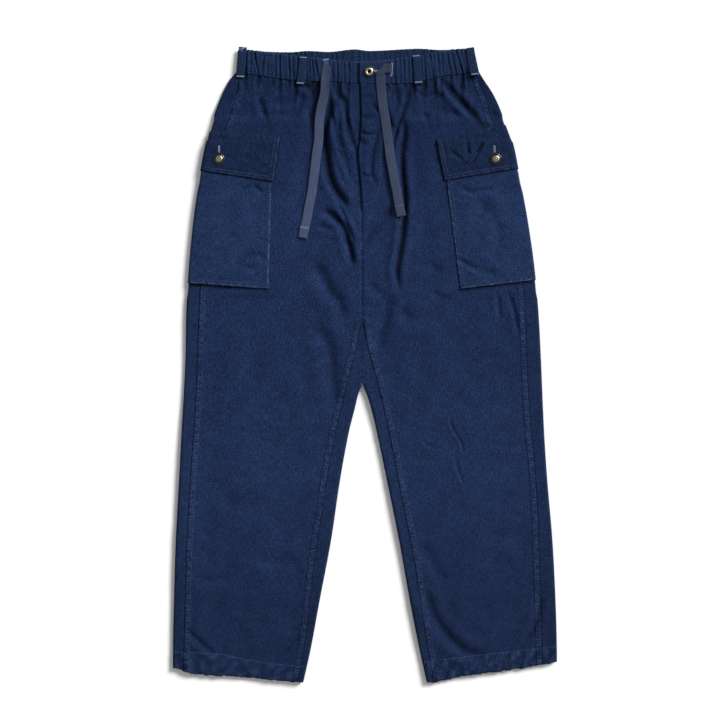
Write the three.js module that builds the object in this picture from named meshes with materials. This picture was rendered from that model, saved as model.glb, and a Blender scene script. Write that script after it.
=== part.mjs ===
import * as THREE from 'three';

// Navy cargo trousers with an easy, gathered waist, laid flat with the front up.
// Sizes are in millimetres. +Y runs to the waist, the underside rests on z = 0.

// Cloth and gaps
const clothWall = 1.2;
const bandWall = 2.2;
const tapeWall = 1.0;
const seamGap = 0.3;
const layerStep = clothWall + seamGap;

// How high the laid cloth stands
const restTop = 3.5;
const edgeRoll = 1.3;
const inseamRoll = 1.1;
const foldLow = -0.75;
const foldHigh = 2.4;

// Waistband
const backBandTop = 498;
const backSeamMiddle = 452;
const bandEndLow = 461.9;
const bandInside = 2.9;
const gatherCount = 46;
const gatherPitch = 8.1;
const gatherHeight = 0.75;

// Fly: the right front laps over the left front
const flyLap = 26;
const flyBottom = 270;
const underLapTop = 2.9;
const overLapTop = 4.4;

// Crotch and hems
const crotchY = -30;
const crotchX = -4;

// Cargo pockets and flaps, which run round the side edge to the back
const pocketTop = 334;
const pocketReach = 132;
const pocketFrontLow = 120;
const sides = {
  left: { sign: -1, wrap: 50, pocketLow: 129, pocketEdgeTop: -147, pocketEdgeLow: -152 },
  right: { sign: 1, wrap: 44, pocketLow: 134, pocketEdgeTop: 129, pocketEdgeLow: 151 },
};
const flaps = {
  left: { frontTop: -134, frontLow: -144, topFront: 359, topSide: 367, lowFront: 289, lowSide: 306 },
  right: { frontTop: 113, frontLow: 126, topFront: 354, topSide: 378, lowFront: 291, lowSide: 309 },
};

// Small parts
const buttonRadius = 8.7;
const loopWidth = 12.6;
const tapeWidth = 15;
const buttonPlaces = {
  button_fly: { x: 7, y: 462 },
  button_left: { x: -229, y: 324 },
  button_right: { x: 206, y: 324 },
};
const loops = {
  belt_loop_left: { fromX: -97, fromY: 486, toX: -101, toY: 442 },
  belt_loop_right: { fromX: 82, fromY: 488, toX: 85, toY: 442 },
  belt_loop_side_left: { fromX: -193, fromY: 501, toX: -195, toY: 453 },
  belt_loop_side_right: { fromX: 166, fromY: 500, toX: 172, toY: 456 },
};
const tapes = {
  drawstring_left: [
    { x: -61, y: 477 },
    { x: -60, y: 461 },
    { x: -64, y: 422 },
    { x: -73, y: 375 },
    { x: -76, y: 329 },
    { x: -81, y: 289 },
    { x: -88, y: 250 },
    { x: -97, y: 201 },
  ],
  drawstring_right: [
    { x: 40, y: 468 },
    { x: 30, y: 461 },
    { x: 24, y: 446 },
    { x: 27, y: 422 },
    { x: 33, y: 382 },
    { x: 38, y: 343 },
    { x: 46, y: 297 },
    { x: 56, y: 237 },
  ],
};

// Side edges of the laid trousers
const outline = [
  { y: 462, left: -203, right: 180.5 },
  { y: 450, left: -213, right: 188 },
  { y: 425, left: -226, right: 204 },
  { y: 387, left: -240, right: 220 },
  { y: 349, left: -251, right: 234 },
  { y: 311, left: -258.5, right: 242 },
  { y: 273, left: -264, right: 249 },
  { y: 235, left: -269.5, right: 256 },
  { y: 160, left: -277, right: 267 },
  { y: 84, left: -281.5, right: 274 },
  { y: 8, left: -283, right: 278 },
  { y: -106, left: -289, right: 283 },
  { y: -182, left: -293, right: 288 },
  { y: -276, left: -298, right: 296 },
  { y: -371, left: -301, right: 301 },
  { y: -440, left: -302.5, right: 303 },
  { y: -501, left: -302.5, right: 303 },
];

// Inner edges of the legs
const innerEdges = [
  { y: -30, left: -4.5, right: -3.5 },
  { y: -49, left: -11, right: 4 },
  { y: -68, left: -15.5, right: 10 },
  { y: -106, left: -25, right: 19 },
  { y: -182, left: -39, right: 35 },
  { y: -276, left: -53, right: 54 },
  { y: -371, left: -71, right: 71 },
  { y: -447, left: -85, right: 86 },
  { y: -501, left: -97, right: 98 },
];

// Side seams, which lie a little inside the side edges
const sideSeams = [
  { y: 462, left: -197, right: 173 },
  { y: 425, left: -202, right: 188 },
  { y: 387, left: -214, right: 199 },
  { y: 349, left: -227, right: 212 },
  { y: 311, left: -237, right: 220 },
  { y: 261, left: -245, right: 228 },
  { y: 182, left: -254, right: 242 },
  { y: 107, left: -260, right: 250 },
  { y: -47, left: -266, right: 257 },
  { y: -202, left: -276, right: 270 },
  { y: -308, left: -281, right: 274 },
  { y: -501, left: -286, right: 280 },
];

// Inseams, which lie on the front inside the inner edges
const inseams = [
  { y: 68, left: -6, right: -2 },
  { y: 32, left: -13, right: 4 },
  { y: -28, left: -29, right: 20.5 },
  { y: -71, left: -39, right: 31 },
  { y: -142, left: -54, right: 45.5 },
  { y: -202, left: -64, right: 57 },
  { y: -308, left: -80, right: 78 },
  { y: -412, left: -92, right: 94 },
  { y: -501, left: -106, right: 109 },
];

// Front edge of the fly and the centre seam below it
const centreFront = [
  { y: 476, x: -8 },
  { y: 427, x: -6 },
  { y: 395, x: -5 },
  { y: 356, x: -7 },
  { y: 335, x: -10 },
  { y: 300, x: -7 },
  { y: 253, x: -4 },
  { y: -30, x: -4 },
];

// Seam under the waistband, top edge of the front band, and hem line
const bandSeam = [
  { x: -204, y: 461.5 },
  { x: -162, y: 455 },
  { x: -107, y: 448 },
  { x: -31, y: 445.5 },
  { x: -9, y: 444 },
  { x: 76, y: 444 },
  { x: 109, y: 452 },
  { x: 136, y: 457 },
  { x: 182, y: 462 },
];
const frontBandTop = [
  { x: -204, y: 498 },
  { x: -181, y: 497 },
  { x: -97, y: 487 },
  { x: -7, y: 479 },
  { x: 83, y: 488 },
  { x: 138, y: 498 },
  { x: 182, y: 498 },
];
const hemLine = [
  { x: -303, y: -477 },
  { x: -266, y: -487 },
  { x: -203, y: -491 },
  { x: -127, y: -498 },
  { x: -95, y: -500 },
  { x: 104, y: -500 },
  { x: 157, y: -490 },
  { x: 233, y: -480 },
  { x: 303, y: -468 },
];
const bandSides = [
  { y: 498, left: -200, right: 172 },
  { y: 475, left: -203, right: 176 },
  { y: 462, left: -202.5, right: 180 },
];

// Largest folds: each is a hollow with a rise beside it, bent through a middle point
const folds = [
  { x1: -54, y1: 420, x2: -62, y2: 350, x3: -27, y3: 250, width: 9, depth: 3.0 },
  { x1: -49, y1: 235, x2: -27, y2: 202, x3: -17, y3: 150, width: 9, depth: 2.6 },
  { x1: -47, y1: 439, x2: -27, y2: 398, x3: -11, y3: 341, width: 8, depth: 1.8 },
  { x1: -71, y1: 463, x2: -74, y2: 422, x3: -85, y3: 371, width: 9, depth: 2.4 },
  { x1: -162, y1: 416, x2: -156, y2: 398, x3: -147, y3: 367, width: 8, depth: 1.8 },
  { x1: -77, y1: 161, x2: -55, y2: 123, x3: -30, y3: 71, width: 12, depth: 1.6 },
  { x1: -79, y1: 63, x2: -52, y2: 28, x3: -47, y3: -65, width: 12, depth: 1.8 },
  { x1: 69, y1: 442, x2: 64, y2: 414, x3: 48, y3: 359, width: 8, depth: 2.0 },
  { x1: 64, y1: 386, x2: 61, y2: 289, x3: 59, y3: 123, width: 10, depth: 3.0 },
  { x1: 128, y1: 444, x2: 150, y2: 419, x3: 181, y3: 376, width: 9, depth: 2.6 },
  { x1: 97, y1: 393, x2: 103, y2: 380, x3: 108, y3: 367, width: 8, depth: 1.4 },
  { x1: 48, y1: 248, x2: 30, y2: 232, x3: -3, y3: 186, width: 10, depth: 1.6 },
  { x1: 10, y1: 130, x2: 38, y2: 100, x3: 23, y3: 28, width: 13, depth: 1.6 },
  { x1: 56, y1: 92, x2: 85, y2: 76, x3: 122, y3: 107, width: 12, depth: 1.3 },
  { x1: 225, y1: 122, x2: 233, y2: 100, x3: 242, y3: 55, width: 9, depth: 1.2 },
  { x1: 135, y1: -76, x2: 142, y2: -105, x3: 165, y3: -142, width: 12, depth: 1.5 },
  { x1: 92, y1: -118, x2: 130, y2: -135, x3: 165, y3: -191, width: 12, depth: 1.5 },
  { x1: -263, y1: -329, x2: -241, y2: -337, x3: -216, y3: -335, width: 14, depth: 1.2 },
  { x1: -169, y1: -305, x2: -140, y2: -307, x3: -110, y3: -308, width: 14, depth: 1.1 },
  { x1: -275, y1: -422, x2: -258, y2: -438, x3: -240, y3: -452, width: 12, depth: 1.5 },
  { x1: -107, y1: -433, x2: -126, y2: -450, x3: -142, y3: -461, width: 12, depth: 1.4 },
  { x1: 103, y1: -367, x2: 128, y2: -420, x3: 187, y3: -454, width: 14, depth: 2.0 },
  { x1: 277, y1: -371, x2: 271, y2: -405, x3: 250, y3: -438, width: 12, depth: 1.4 },
  { x1: 92, y1: -281, x2: 111, y2: -311, x3: 130, y3: -340, width: 13, depth: 1.2 },
];

// Rows down the garment that all large pieces share, so that layers never cross
const rowStops = [
  { y: 444, cells: 10 },
  { y: 288, cells: 1 },
  { y: 270, cells: 10 },
  { y: 116, cells: 3 },
  { y: 64, cells: 4 },
  { y: -30, cells: 15 },
  { y: -458, cells: 2 },
  { y: -500, cells: 0 },
];

const clothColours = {
  front: 0x203050,
  back: 0x1d2b49,
  band: 0x1d2c49,
  pocket: 0x213150,
  flap: 0x1a2845,
  loop: 0x24345a,
};

function clamp(value, low, high) {
  return Math.min(high, Math.max(low, value));
}

function ramp(from, to, value) {
  const t = clamp((value - from) / (to - from), 0, 1);
  return t * t * (3 - 2 * t);
}

function mix(a, b, t) {
  return a + (b - a) * t;
}

// Reads one column of a table along another, with a smooth curve through the rows
function readTable(table, keyName, valueName, key) {
  const rising = table[0][keyName] < table[table.length - 1][keyName];
  const rows = rising ? table : [...table].reverse();
  const last = rows.length - 1;
  if (key <= rows[0][keyName]) return rows[0][valueName];
  if (key >= rows[last][keyName]) return rows[last][valueName];
  let i = 0;
  while (rows[i + 1][keyName] < key) i += 1;
  const slopeAt = (k) => {
    const a = rows[Math.max(0, k - 1)];
    const b = rows[Math.min(last, k + 1)];
    return (b[valueName] - a[valueName]) / (b[keyName] - a[keyName]);
  };
  const step = rows[i + 1][keyName] - rows[i][keyName];
  const t = (key - rows[i][keyName]) / step;
  const t2 = t * t;
  const t3 = t2 * t;
  return (2 * t3 - 3 * t2 + 1) * rows[i][valueName]
    + (t3 - 2 * t2 + t) * step * slopeAt(i)
    + (-2 * t3 + 3 * t2) * rows[i + 1][valueName]
    + (t3 - t2) * step * slopeAt(i + 1);
}

function sharedRows() {
  const rows = [];
  rowStops.forEach((stop, index) => {
    const next = rowStops[index + 1];
    for (let k = 0; k < stop.cells; k += 1) {
      rows.push(mix(stop.y, next.y, k / stop.cells));
    }
  });
  rows.push(rowStops[rowStops.length - 1].y);
  return rows;
}

const rows = sharedRows();

function frontSeam(x) {
  return readTable(bandSeam, 'x', 'y', x);
}

// The band seam on the back runs straight from each side to the middle
function backSeam(x) {
  const reach = x < crotchX ? 200 : 186;
  return mix(backSeamMiddle, 461.5, Math.abs(x - crotchX) / reach);
}

// Rows bend up to the band seam at the top and to the slanted hem at the bottom
function bendRow(x, row, seam = frontSeam) {
  const seamPull = clamp((row - 380) / 64, 0, 1);
  const hemPull = clamp((-330 - row) / 170, 0, 1);
  const seamShift = (seam(x) - seamGap / 2 - 444) * seamPull;
  const hemShift = (readTable(hemLine, 'x', 'y', x) + 500) * hemPull;
  return row + seamShift + hemShift;
}

// Finds the point on an edge curve that a bent row reaches
function edgePoint(edgeAt, row) {
  let y = row;
  let x = edgeAt(y);
  for (let k = 0; k < 4; k += 1) {
    y = bendRow(x, row);
    x = edgeAt(y);
  }
  return { x, y };
}

function plateau(y, low, lowRamp, high, highRamp) {
  return ramp(low - lowRamp, low, y) * (1 - ramp(high, high + highRamp, y));
}

function pocketLayer(y) {
  return plateau(y, 116, 14, 382, 16);
}

function flapLayer(y) {
  return plateau(y, 288, 18, 382, 16);
}

function coveredLayers(y) {
  return pocketLayer(y) + flapLayer(y);
}

function outerEdge(sideName, y) {
  const sign = sides[sideName].sign;
  return readTable(outline, 'y', sideName, y) - sign * layerStep * coveredLayers(y);
}

function edgeDistance(sideName, x, y) {
  return sides[sideName].sign * (outerEdge(sideName, y) - x);
}

function foldDistance(fold, x, y) {
  let best = { distance: Infinity, t: 0, across: 0 };
  for (let k = 0; k <= 12; k += 1) {
    const t = k / 12;
    const a = (1 - t) * (1 - t);
    const b = 2 * t * (1 - t);
    const c = t * t;
    const bendX = 2 * fold.x2 - (fold.x1 + fold.x3) / 2;
    const bendY = 2 * fold.y2 - (fold.y1 + fold.y3) / 2;
    const px = a * fold.x1 + b * bendX + c * fold.x3;
    const py = a * fold.y1 + b * bendY + c * fold.y3;
    const distance = Math.hypot(x - px, y - py);
    if (distance < best.distance) best = { distance, t, across: x - px };
  }
  return best;
}

// A hollow with a lower rise on both sides, fading towards its two ends
function foldHeight(fold, x, y) {
  const near = foldDistance(fold, x, y);
  const s = near.distance / fold.width;
  if (s > 4) return 0;
  const fade = 0.35 + 0.65 * Math.sin(Math.PI * near.t);
  const lean = near.across > 0 ? 0.75 : 0.45;
  const hollow = -Math.exp(-s * s);
  const rise = lean * Math.exp(-((s - 1.7) ** 2) / 0.7);
  return fold.depth * fade * (hollow + rise);
}

function foldSum(x, y) {
  return folds.reduce((sum, fold) => sum + foldHeight(fold, x, y), 0);
}

// Height of the upper face of the upper layer
function topHeight(sideName, x, y) {
  const d = edgeDistance(sideName, x, y);
  const cover = 1 - ramp(pocketReach + 8, pocketReach + 34, d);
  const covered = Math.max(pocketLayer(y), flapLayer(y)) * cover;
  const lift = layerStep * coveredLayers(y) * cover;
  const inner = sides[sideName].sign * (x - readTable(innerEdges, 'y', sideName, Math.min(y, crotchY)));
  const legRoll = inseamRoll * Math.exp(-((inner / 14) ** 2)) * ramp(20, -60, y);
  const sideRoll = edgeRoll * Math.exp(-((d / 16) ** 2));
  const fold = clamp(foldSum(x, y), foldLow, foldHigh);
  const free = restTop + (sideRoll + legRoll + fold) * (1 - covered) + lift;
  const fly = plateau(y, 250, 12, 600, 1);
  if (sideName === 'left') return mix(free, underLapTop, fly * ramp(-30, -13, x));
  return mix(free, overLapTop, fly * (1 - ramp(24, 42, x)));
}

// Height of the lower face of the lower layer, raised over what wraps round to the back
function bottomHeight(sideName, x, y) {
  const d = edgeDistance(sideName, x, y);
  const wrap = sides[sideName].wrap;
  return layerStep * coveredLayers(y) * (1 - ramp(wrap + 6, wrap + 26, d));
}

// Closed wall between two faces of a grid. Cells may be left out with the present function.
function wallMesh(uCells, vCells, pointAt, present = () => true) {
  const positions = [];
  const index = [];
  const width = vCells + 1;
  for (let u = 0; u <= uCells; u += 1) {
    for (let v = 0; v <= vCells; v += 1) {
      const point = pointAt(u, v);
      positions.push(...point.outer, ...point.inner);
    }
  }
  const outer = (u, v) => 2 * (u * width + v);
  const inner = (u, v) => 2 * (u * width + v) + 1;
  const quad = (a, b, c, d) => index.push(a, b, c, a, c, d);
  const has = (u, v) => u >= 0 && v >= 0 && u < uCells && v < vCells && present(u, v);
  for (let u = 0; u < uCells; u += 1) {
    for (let v = 0; v < vCells; v += 1) {
      if (!has(u, v)) continue;
      quad(outer(u, v), outer(u + 1, v), outer(u + 1, v + 1), outer(u, v + 1));
      quad(inner(u, v), inner(u, v + 1), inner(u + 1, v + 1), inner(u + 1, v));
      if (!has(u, v - 1)) quad(outer(u + 1, v), outer(u, v), inner(u, v), inner(u + 1, v));
      if (!has(u, v + 1)) quad(outer(u, v + 1), outer(u + 1, v + 1), inner(u + 1, v + 1), inner(u, v + 1));
      if (!has(u - 1, v)) quad(outer(u, v), outer(u, v + 1), inner(u, v + 1), inner(u, v));
      if (!has(u + 1, v)) quad(outer(u + 1, v + 1), outer(u + 1, v), inner(u + 1, v), inner(u + 1, v + 1));
    }
  }
  return finishGeometry(positions, index);
}

function signedVolume(positions, index) {
  let sum = 0;
  for (let k = 0; k < index.length; k += 3) {
    const [a, b, c] = [0, 1, 2].map((n) => new THREE.Vector3().fromArray(positions, 3 * index[k + n]));
    sum += a.dot(b.cross(c)) / 6;
  }
  return sum;
}

// Keeps only the points that are used, and turns the faces outward
function finishGeometry(positions, index) {
  if (signedVolume(positions, index) < 0) {
    for (let k = 0; k < index.length; k += 3) {
      [index[k + 1], index[k + 2]] = [index[k + 2], index[k + 1]];
    }
  }
  const placed = new Map();
  const kept = [];
  const renumbered = index.map((old) => {
    if (!placed.has(old)) {
      placed.set(old, placed.size);
      kept.push(positions[3 * old], positions[3 * old + 1], positions[3 * old + 2]);
    }
    return placed.get(old);
  });
  const geometry = new THREE.BufferGeometry();
  geometry.setAttribute('position', new THREE.Float32BufferAttribute(kept, 3));
  geometry.setIndex(renumbered);
  geometry.computeVertexNormals();
  return geometry;
}

// One sheet of the front, from the side seam to the centre and down the inseam
function frontPanel(sideName) {
  const sign = sides[sideName].sign;
  const cells = 16;
  const innerAt = (row) => (y) => {
    if (y <= 64) return readTable(inseams, 'y', sideName, y) + sign * seamGap / 2;
    const centre = readTable(centreFront, 'y', 'x', y);
    if (sideName === 'right') return centre + seamGap / 2;
    return row >= flyBottom ? centre + flyLap : centre - seamGap / 2;
  };
  const outerAt = (y) => readTable(sideSeams, 'y', sideName, y) - sign * seamGap / 2;
  const pointAt = (u, v) => {
    const row = rows[v];
    const from = edgePoint(outerAt, row);
    const to = edgePoint(innerAt(row), row);
    const x = mix(from.x, to.x, u / cells);
    const y = bendRow(x, row);
    const z = topHeight(sideName, x, y);
    const hemExtra = row < -455 ? 0.6 : 0;
    return { outer: [x, y, z + hemExtra], inner: [x, y, z - clothWall] };
  };
  return wallMesh(cells, rows.length - 1, pointAt);
}

// Points round a folded edge: angle 90 is the upper face, -90 the lower face
function edgeTurn(centre, sign, topZ, bottomZ, angle, layer) {
  const reach = (topZ - bottomZ) / 2;
  const middle = (topZ + bottomZ) / 2;
  const turn = (angle * Math.PI) / 180;
  const at = (extra) => [
    centre.x + sign * (reach + extra) * Math.cos(turn),
    centre.y,
    middle + (reach + extra) * Math.sin(turn),
  ];
  return { outer: at(layerStep * layer), inner: at(layerStep * layer - clothWall) };
}

// Where the rounding of the side edge starts on a row
function sideTurnCentre(sideName, row) {
  const sign = sides[sideName].sign;
  const edge = edgePoint((y) => outerEdge(sideName, y), row);
  const topZ = topHeight(sideName, edge.x - sign * 2, edge.y);
  const bottomZ = bottomHeight(sideName, edge.x, edge.y);
  const x = edge.x - sign * (topZ - bottomZ) / 2;
  return { x, y: edge.y, topZ, bottomZ };
}

// Lower layer with its turned side edge, turned inner edge and the part that shows at the crotch
function backPanel(sideName) {
  const { sign, wrap } = sides[sideName];
  const turnAngles = [90, 45, 0, -45, -90];
  const flat = (x, y, z, up) => ({ outer: [x, y, z], inner: [x, y, z + (up ? -clothWall : clothWall)] });
  const innerTurn = (row, angle) => {
    const edge = edgePoint((y) => readTable(innerEdges, 'y', sideName, Math.min(y, crotchY)), row);
    const topZ = topHeight(sideName, edge.x + sign * 2, edge.y);
    const centre = { x: edge.x + sign * topZ / 2, y: edge.y };
    return edgeTurn(centre, -sign, topZ, 0, angle, 0);
  };
  const pointAt = (u, v) => {
    const row = rows[v];
    const side = sideTurnCentre(sideName, row);
    if (u === 0) {
      const seam = edgePoint((y) => readTable(sideSeams, 'y', sideName, y) + sign * seamGap / 2, row);
      return flat(seam.x, seam.y, topHeight(sideName, seam.x, seam.y), true);
    }
    if (u <= 5) return edgeTurn(side, sign, side.topZ, side.bottomZ, turnAngles[u - 1], 0);
    if (u <= 7) {
      const x = outerEdge(sideName, side.y) - sign * (wrap + (u === 6 ? 6 : 26));
      const y = bendRow(x, row, backSeam);
      return flat(x, y, bottomHeight(sideName, x, y), false);
    }
    const above = row > crotchY + 0.5;
    const centreX = crotchX + sign * seamGap / 2;
    if (u === 8) {
      return above ? flat(centreX, bendRow(centreX, row, backSeam), 0, false) : innerTurn(row, -90);
    }
    if (u <= 11) return innerTurn(row, -90 + 45 * (u - 8));
    if (u === 12) {
      return above ? flat(centreX, row, topHeight(sideName, centreX, row), true) : innerTurn(row, 90);
    }
    const seamAt = (y) => readTable(inseams, 'y', sideName, y) - sign * seamGap / 2;
    const seam = edgePoint(seamAt, row);
    return flat(seam.x, seam.y, topHeight(sideName, seam.x, seam.y), true);
  };
  const tongueTop = sideName === 'left' ? 50 : 20;
  const present = (u, v) => {
    if (u < 8) return true;
    if (u < 12) return rows[v] <= crotchY + 0.5;
    return rows[v] <= tongueTop;
  };
  return wallMesh(13, rows.length - 1, pointAt, present);
}

// Soft waves in the pocket cloth, none of them under the flap
function pocketSwell(sideName, x, y) {
  const calm = 1 - ramp(262, 270, y);
  const shift = sideName === 'left' ? 0 : 1.4;
  const wave = Math.sin(y / 17 + x / 41 + shift) * Math.sin(x / 26 - y / 60 + shift);
  return 0.35 * (1 + wave) * calm;
}

// A piece that lies on the front layer and runs round the side edge to the back
function wrappedPiece(sideName, shape) {
  const { sign } = sides[sideName];
  const pointAt = (u, v) => {
    const side = sideTurnCentre(sideName, shape.rowAt(1, v));
    const layer = shape.layerAt(side.y);
    if (u <= shape.frontCells) {
      const t = u / shape.frontCells;
      const y = shape.rowAt(t, v);
      const x = mix(shape.frontEdge(y), sideTurnCentre(sideName, y).x, t);
      const z = topHeight(sideName, side.x, y) + layerStep * shape.layerAt(y) + shape.swellAt(x, y) * (1 - t);
      return { outer: [x, y, z], inner: [x, y, z - clothWall] };
    }
    const turn = u - shape.frontCells;
    if (turn <= 4) return edgeTurn(side, sign, side.topZ, side.bottomZ, 90 - 45 * turn, layer);
    const x = outerEdge(sideName, side.y) - sign * sides[sideName].wrap * (turn - 4) / 2;
    const z = side.bottomZ - layerStep * layer;
    return { outer: [x, side.y, z], inner: [x, side.y, z + clothWall] };
  };
  return wallMesh(shape.frontCells + 6, shape.rowCount, pointAt);
}

function cargoPocket(sideName) {
  const side = sides[sideName];
  const inside = rows.filter((y) => y < pocketTop && y > side.pocketLow + 8);
  const lines = [pocketTop, ...inside];
  const rowAt = (t, v) => (v < lines.length ? lines[v] : mix(pocketFrontLow, side.pocketLow, t));
  return wrappedPiece(sideName, {
    frontCells: 6,
    rowCount: lines.length,
    rowAt,
    layerAt: () => 1,
    swellAt: (x, y) => pocketSwell(sideName, x, y),
    frontEdge: (y) => mix(side.pocketEdgeLow, side.pocketEdgeTop, clamp((y - 120) / 170, 0, 1.3)),
  });
}

function cargoFlap(sideName) {
  const flap = flaps[sideName];
  const rowCount = 5;
  const rowAt = (t, v) => {
    const top = mix(flap.topFront, flap.topSide, t);
    const low = mix(flap.lowFront, flap.lowSide, t);
    return mix(top, low, v / rowCount);
  };
  return wrappedPiece(sideName, {
    frontCells: 6,
    rowCount,
    rowAt,
    layerAt: (y) => 2 - ramp(pocketTop + 16, pocketTop + 22, y),
    swellAt: () => 0,
    frontEdge: (y) => mix(flap.frontLow, flap.frontTop, (y - flap.lowFront) / (flap.topFront - flap.lowFront)),
  });
}

// Crest of each gather, unevenly spaced along the band
function gatherCrest(i) {
  return -197 + gatherPitch * i + 1.5 * Math.sin(2.3 * i) + 0.8 * Math.sin(5.1 * i + 1);
}

function gatherStops(fromX, toX) {
  const stops = [{ x: fromX, wave: 0 }];
  for (let i = 0; i < gatherCount; i += 1) {
    const depth = 0.7 + 0.3 * Math.sin(3.7 * i);
    const crest = gatherCrest(i);
    const hollow = (crest + gatherCrest(i + 1)) / 2;
    if (crest > fromX + 3 && crest < toX - 3) stops.push({ x: crest, wave: depth });
    if (hollow > fromX + 3 && hollow < toX - 3) stops.push({ x: hollow, wave: -depth });
  }
  stops.push({ x: toX, wave: 0 });
  return stops;
}

function frontBandPoint(stop, t, insideZ) {
  const low = frontSeam(stop.x) + seamGap / 2;
  const high = readTable(frontBandTop, 'x', 'y', stop.x);
  const lean = stop.x > 150 ? 0.02 * t : 0;
  const x = stop.x * (1 - lean);
  const y = mix(low, high, t);
  const outerZ = insideZ + bandWall + gatherHeight * stop.wave;
  return { outer: [x, y, outerZ], inner: [x, y, insideZ] };
}

function waistbandFrontLeft() {
  const stops = gatherStops(-196.8, -16);
  stops.push({ x: -4, wave: 0 }, { x: 18, wave: 0 });
  const pointAt = (u, v) => {
    const stop = stops[u];
    const point = frontBandPoint(stop, v / 3, bandInside);
    if (stop.x > -15) point.outer[2] = bandInside + 1.7;
    return point;
  };
  return wallMesh(stops.length - 1, 3, pointAt);
}

function rightBandInside(x) {
  return mix(4.9, bandInside, ramp(24, 42, x));
}

function waistbandFrontRight() {
  const stops = [{ x: -8, wave: 0 }, { x: 8, wave: 0 }, ...gatherStops(24, 172.8)];
  const pointAt = (u, v) => frontBandPoint(stops[u], v / 3, rightBandInside(stops[u].x));
  return wallMesh(stops.length - 1, 3, pointAt);
}

// Back band: flat below, gathered above, with both ends turned up to the side seams
function waistbandBack() {
  const stops = gatherStops(-190, 164);
  const turnCells = 5;
  const last = stops.length + 2 * turnCells + 1;
  const highZ = bandInside + bandWall;
  const endPoint = (sideName, step, t) => {
    const sign = sides[sideName].sign;
    const y = mix(bandEndLow, backBandTop, t);
    const edge = readTable(bandSides, 'y', sideName, y);
    const centre = { x: edge - sign * highZ / 2, y };
    if (step === 0) {
      const x = sideName === 'left' ? -197.1 : 173.1;
      const slide = sideName === 'left' ? 0 : -3.4 * t;
      return { outer: [x + slide, y, highZ], inner: [x + slide, y, highZ - clothWall] };
    }
    return edgeTurn(centre, sign, highZ, 0, 90 - 45 * (step - 1), 0);
  };
  const pointAt = (u, v) => {
    const t = v / 2;
    if (u <= turnCells) return endPoint('left', u, t);
    if (u >= last - turnCells) return endPoint('right', last - u, t);
    const stop = stops[u - turnCells - 1];
    const y = mix(backSeam(stop.x) + 1.5 * seamGap, backBandTop, t);
    const wave = stop.wave < 0 ? 0.6 * stop.wave : 0.35 * stop.wave;
    return { outer: [stop.x, y, 0], inner: [stop.x, y, 2.1 + wave] };
  };
  return wallMesh(last, 2, pointAt);
}

// Height of whatever lies on top at a place, for the things that lie over it
function surfaceHeight(x, y) {
  const onBand = y > frontSeam(x) - 1;
  const sideName = x < crotchX ? 'left' : 'right';
  if (!onBand) return topHeight(sideName, x, y);
  const insideZ = x < -8 ? bandInside : rightBandInside(x);
  return insideZ + bandWall + gatherHeight;
}

function highestNear(x, y, reach) {
  let highest = 0;
  for (let i = -3; i <= 3; i += 1) {
    for (let j = -3; j <= 3; j += 1) {
      highest = Math.max(highest, surfaceHeight(x + (reach * i) / 3, y + (reach * j) / 3));
    }
  }
  return highest;
}

// A narrow strip along a path, lying on what is below it
function strip(path, width, wall, cells, reach) {
  const curve = new THREE.CatmullRomCurve3(path.map((p) => new THREE.Vector3(p.x, p.y, 0)));
  const pointAt = (u, v) => {
    const t = v / cells;
    const middle = curve.getPointAt(t);
    const along = curve.getTangentAt(t);
    const side = (u / 2 - 0.5) * width;
    const x = middle.x - along.y * side;
    const y = middle.y + along.x * side;
    const z = highestNear(middle.x, middle.y, reach) + seamGap;
    const arch = u === 1 ? 0.25 : 0;
    return { outer: [x, y, z + wall + arch], inner: [x, y, z + arch] };
  };
  return wallMesh(2, cells, pointAt);
}

function beltLoop(loop) {
  const path = [
    { x: loop.fromX, y: loop.fromY },
    { x: (loop.fromX + loop.toX) / 2, y: (loop.fromY + loop.toY) / 2 },
    { x: loop.toX, y: loop.toY },
  ];
  return strip(path, loopWidth, clothWall, 4, 7);
}

// Turned metal button with a raised rim, a hollow ring and a rounded middle
function buttonGeometry(x, y, z) {
  const profile = [
    { r: 0, z: 0 },
    { r: buttonRadius - 0.8, z: 0 },
    { r: buttonRadius, z: 0.8 },
    { r: buttonRadius - 0.3, z: 1.9 },
    { r: buttonRadius - 1.7, z: 2.4 },
    { r: buttonRadius - 3.6, z: 1.5 },
    { r: buttonRadius - 5.2, z: 1.6 },
    { r: buttonRadius - 6.2, z: 2.1 },
    { r: 0, z: 2.4 },
  ];
  const segments = 20;
  const positions = [x, y, z];
  const index = [];
  const rings = profile.slice(1, -1);
  rings.forEach((ring) => {
    for (let k = 0; k < segments; k += 1) {
      const angle = (2 * Math.PI * k) / segments;
      positions.push(x + ring.r * Math.cos(angle), y + ring.r * Math.sin(angle), z + ring.z);
    }
  });
  positions.push(x, y, z + profile[profile.length - 1].z);
  const at = (ring, k) => 1 + ring * segments + (k % segments);
  const top = positions.length / 3 - 1;
  for (let k = 0; k < segments; k += 1) {
    index.push(0, at(0, k + 1), at(0, k));
    for (let ring = 0; ring < rings.length - 1; ring += 1) {
      index.push(at(ring, k), at(ring, k + 1), at(ring + 1, k + 1));
      index.push(at(ring, k), at(ring + 1, k + 1), at(ring + 1, k));
    }
    index.push(at(rings.length - 1, k), at(rings.length - 1, k + 1), top);
  }
  return finishGeometry(positions, index);
}

function buttonBase(name, place) {
  if (name === 'button_fly') return rightBandInside(place.x) + bandWall + seamGap;
  const sideName = name === 'button_left' ? 'left' : 'right';
  const side = sideTurnCentre(sideName, place.y);
  return topHeight(sideName, side.x, place.y) + 2 * layerStep + seamGap;
}

function cloth(colour) {
  return new THREE.MeshStandardMaterial({ color: colour, roughness: 0.9, metalness: 0 });
}

const trousers = new THREE.Group();
trousers.name = 'cargo_trousers';

function addPart(name, geometry, material) {
  const mesh = new THREE.Mesh(geometry, material);
  mesh.name = name;
  trousers.add(mesh);
}

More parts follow.
